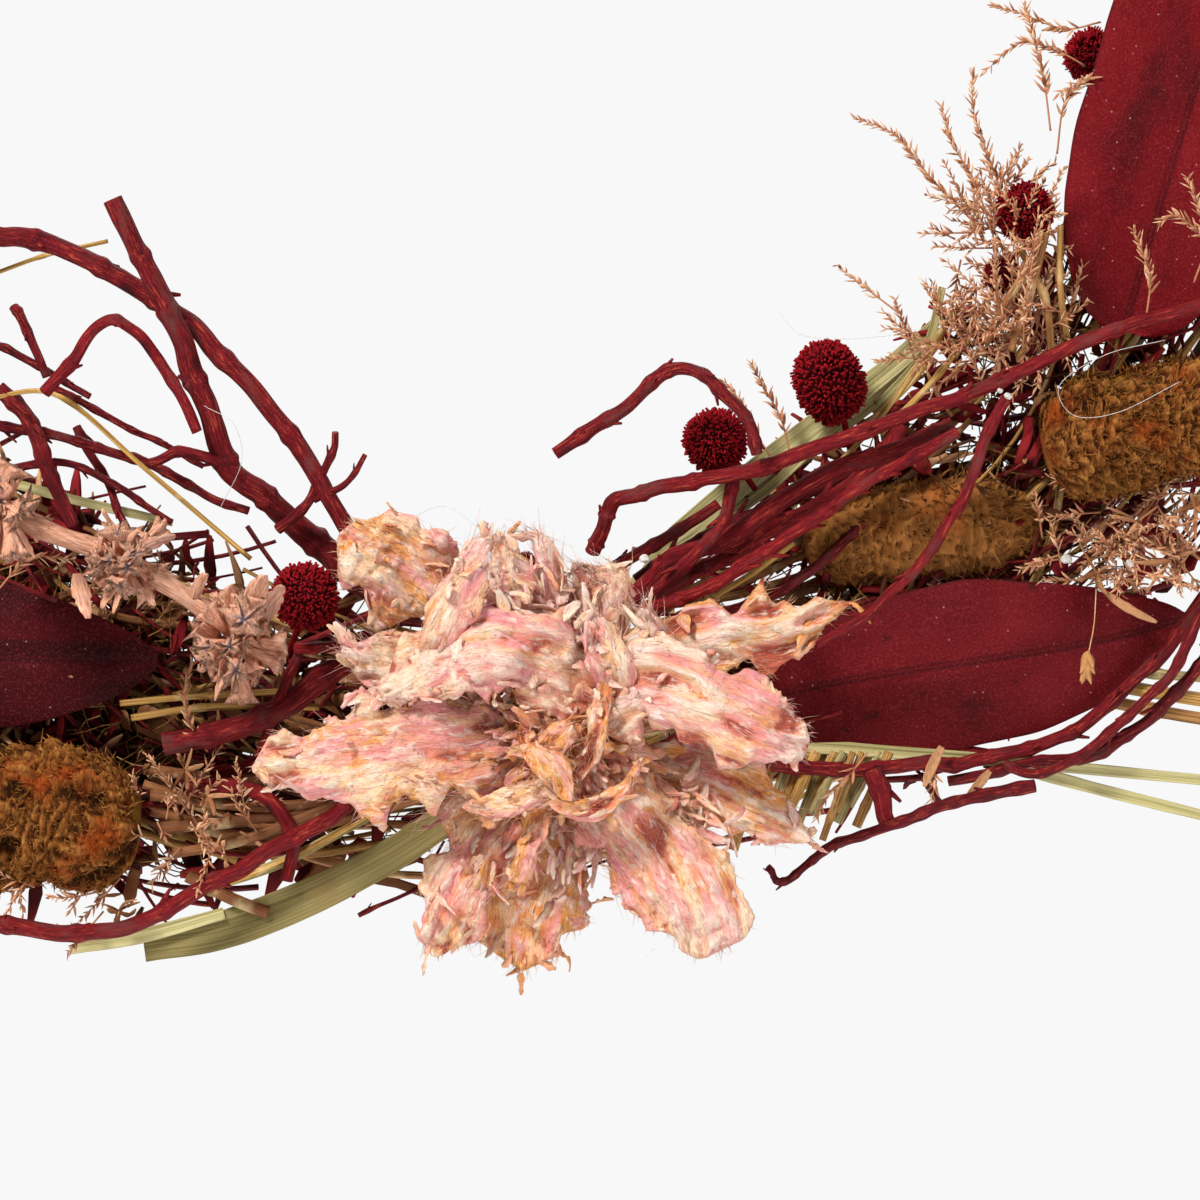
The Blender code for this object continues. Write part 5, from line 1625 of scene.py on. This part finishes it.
# In each of the next two pieces the last, larger crumbs are kept dark and laid deep at the lower left, a dark
# backing that paints the shade in the gaps between the stems.
make_piece("dry_bracts", [crumbs(620, 38, 16, 16, (5, 15), (0.6, 1.8), 970),
                          crumbs(420, 60, 16, 16, (5, 14), (0.6, 1.9), 972, **lower_left),
                          crumbs(160, 56, 18, 18, (5, 13), (0.6, 1.7), 974, **lower_right),
                          crumbs(200, 34, 16, 10, (8, 18), (1.4, 3.4), 976, 0.4, 0.15, radius=245.0,
                                 arc=(238, 268))],
           tan_crumb)
make_piece("dyed_bracts", [crumbs(500, 38, 14, 16, (5, 14), (0.7, 2.2), 980),
                           crumbs(420, 60, 14, 18, (6, 16), (0.9, 2.8), 982, **lower_left),
                           crumbs(420, 62, 14, 18, (6, 16), (0.9, 2.8), 984, **lower_right),
                           crumbs(170, 34, 14, 10, (8, 18), (1.4, 3.4), 986, 0.3, 0.15, radius=245.0,
                                  arc=(236, 268))],
           red_crumb)


# ---- Tucked-in leaves, sprays and bracts round the rest of the ring, and the florist's glue.
# Small dyed leaves and sprays fill the gaps between the larger pieces. Star-shaped bracts are
# left from stripped stems. Hot glue has been drawn out into white threads and small clear beads.
SMALL_LEAVES = (
    # width, finish, route
    (19.0, "red_leaf", ((236, 6, 22), (252, 22, 28), (262, 44, 32), (264, 66, 32))),
    (17.0, "dark_leaf", ((222, 20, 22), (212, 40, 28), (204, 62, 31), (200, 84, 30))),
    (20.0, "crimson_leaf", ((168, 168, 24), (150, 172, 34), (126, 176, 40), (104, 186, 40))),
    (18.0, "red_leaf", ((-62, 222, 22), (-46, 232, 28), (-28, 240, 31), (-28, 252, 30))),
    (20.0, "dark_leaf", ((-206, 110, 26), (-204, 88, 34), (-198, 64, 37), (-190, 42, 34))),
    (21.0, "crimson_leaf", ((-238, 40, 22), (-250, 16, 30), (-256, -10, 34), (-250, -34, 32))),
    (22.0, "red_leaf", ((-232, -20, 24), (-222, -46, 33), (-216, -74, 36), (-208, -98, 33))),
    (20.0, "dark_leaf", ((-226, -86, 24), (-240, -108, 32), (-240, -134, 35), (-226, -156, 32))),
    (18.0, "crimson_leaf", ((222, -66, 20), (236, -84, 25), (250, -98, 27), (262, -106, 26))),
)
SPRAY_ANGLES = (8, 28, 62, 112, 128, 152, 172, 190, 208)
BRACT_STARS = ((-60, -250, 47), (-66, -243, 46), (-84, -281, 44),
               (190, -176, 55), (200, -186, 52), (180, -190, 48), (206, -172, 54))
BROAD_BRACTS = (
    # root, tip, half width
    ((138, -236.5, 50), (131, -248.5, 52), 1.5),
    ((151, -243, 50), (142, -253, 51), 1.3),
    ((182.5, -195, 46), (194, -204.5, 45), 1.2),
)
GLUE_THREADS = (
    ((94, -120, 58), (100, -126, 60), (112, -127, 58), (124, -126, 54)),
    ((196, -128, 76), (180, -132, 78), (168, -140, 76), (172, -148, 74), (184, -147, 74), (200, -139, 74)),
    ((-60, -145, 60), (-52, -150, 62), (-50, -160, 60), (-56, -172, 52)),
    ((-10, -178, 60), (4, -172, 66), (14, -178, 70)),
    ((60, -262, 76), (68, -280, 78), (58, -292, 76)),
)
GLUE_BEADS = ((154, -143, 80, 0.8), (152, -141.5, 79, 0.6), (189, -187, 48, 1.0),
              (181, -194, 47.6, 0.7), (172, -186, 44, 1.2), (58, -186, 50, 1.1))

for number, (width, kind, route) in enumerate(SMALL_LEAVES):
    skin = leaf_skin(smooth_route(route, 60), width, 1400 + number, 0.16, 1.2, 2.0, columns=32)
    make_piece(f"small_leaf_{number + 1}", [skin], leaf_finishes[kind])
tucked = []
for number, angle in enumerate(SPRAY_ANGLES):
    ray = rays(np.radians(float(angle)))
    along = np.array([-ray[1], ray[0], 0.0])
    tucked += clump(ray * 240 + (0, 0, 30), (16, 16, 8), 8, 1450 + number,
                    along * 0.9 + ray * (-1) ** number * 0.7, 0.5, (14, 30))
make_piece("tucked_sprays", tucked, peach_husk)


def star_skins():
    """Each star has seven narrow arms that curl up from one place."""
    rng = np.random.default_rng(88)
    centres = np.repeat(np.array(BRACT_STARS, float), 7, 0)
    turn = np.tile(np.arange(7), len(BRACT_STARS)) * 2 * pi / 7 + rng.uniform(0, 0.8, len(centres))
    ways = unit(np.stack([np.cos(turn), np.sin(turn), rng.uniform(-0.1, 0.8, len(turn))], -1))
    return flakes(centres, ways, rng.normal(0, 0.25, ways.shape),
                  rng.normal(0, 0.4, ways.shape) + (0, 0, 1.0), rng.uniform(3, 9, len(turn)),
                  rng.uniform(0.4, 0.9, len(turn)), rng.uniform(0.2, 0.9, len(turn)), 89, 0.12, 0.6, 12,
                  8)


def broad_skins():
    """The broad bracts that lie on the leaves, each from its root to its tip."""
    roots, tips = (np.array([bract[end] for bract in BROAD_BRACTS]) for end in (0, 1))
    faces = roots * 0 + (0.2, 0.1, 1.0)
    return flakes(roots, unit(tips - roots), roots * 0 + (0.15, 0.1, 0.1), faces,
                  np.linalg.norm(tips - roots, axis=1), np.array([bract[2] for bract in BROAD_BRACTS]),
                  0.85, 91, 0.08, 0.6, 14, 10)


make_piece("bract_stars", [star_skins(), broad_skins()], tan_crumb)
glue = Finish("hot_glue", roughness=0.25, specular=0.5, transmission_weight=0.35)
clouded = glue.noise(glue.value("grain"), 0.8, detail=3.0)
glue.use(Base_Color=glue.ramp(clouded, (0.3, "E4DED2"), (0.7, "FFFFFF")),
         Roughness=glue.step(clouded, -0.4, 2.0), Normal=glue.bump(clouded, 0.2))
threads = [tube(smooth_route(route, 60), 0.08, 4, start=number * 30.0)
           for number, route in enumerate(GLUE_THREADS)]
for number, (*place, size) in enumerate(GLUE_BEADS):
    turn = np.linspace(0.05, pi - 0.05, 16)
    wobble = 1 + 0.25 * np.sin(3 * circle(16) + turn[:, None] * 2 + number)
    line = np.array(place) + np.stack([-size * 1.3 * np.cos(turn), 0.3 * size * np.cos(turn), 0 * turn], -1)
    threads.append(tube(line, size * np.sin(turn)[:, None] * wobble, 16))
make_piece("glue_threads", threads, glue.material)
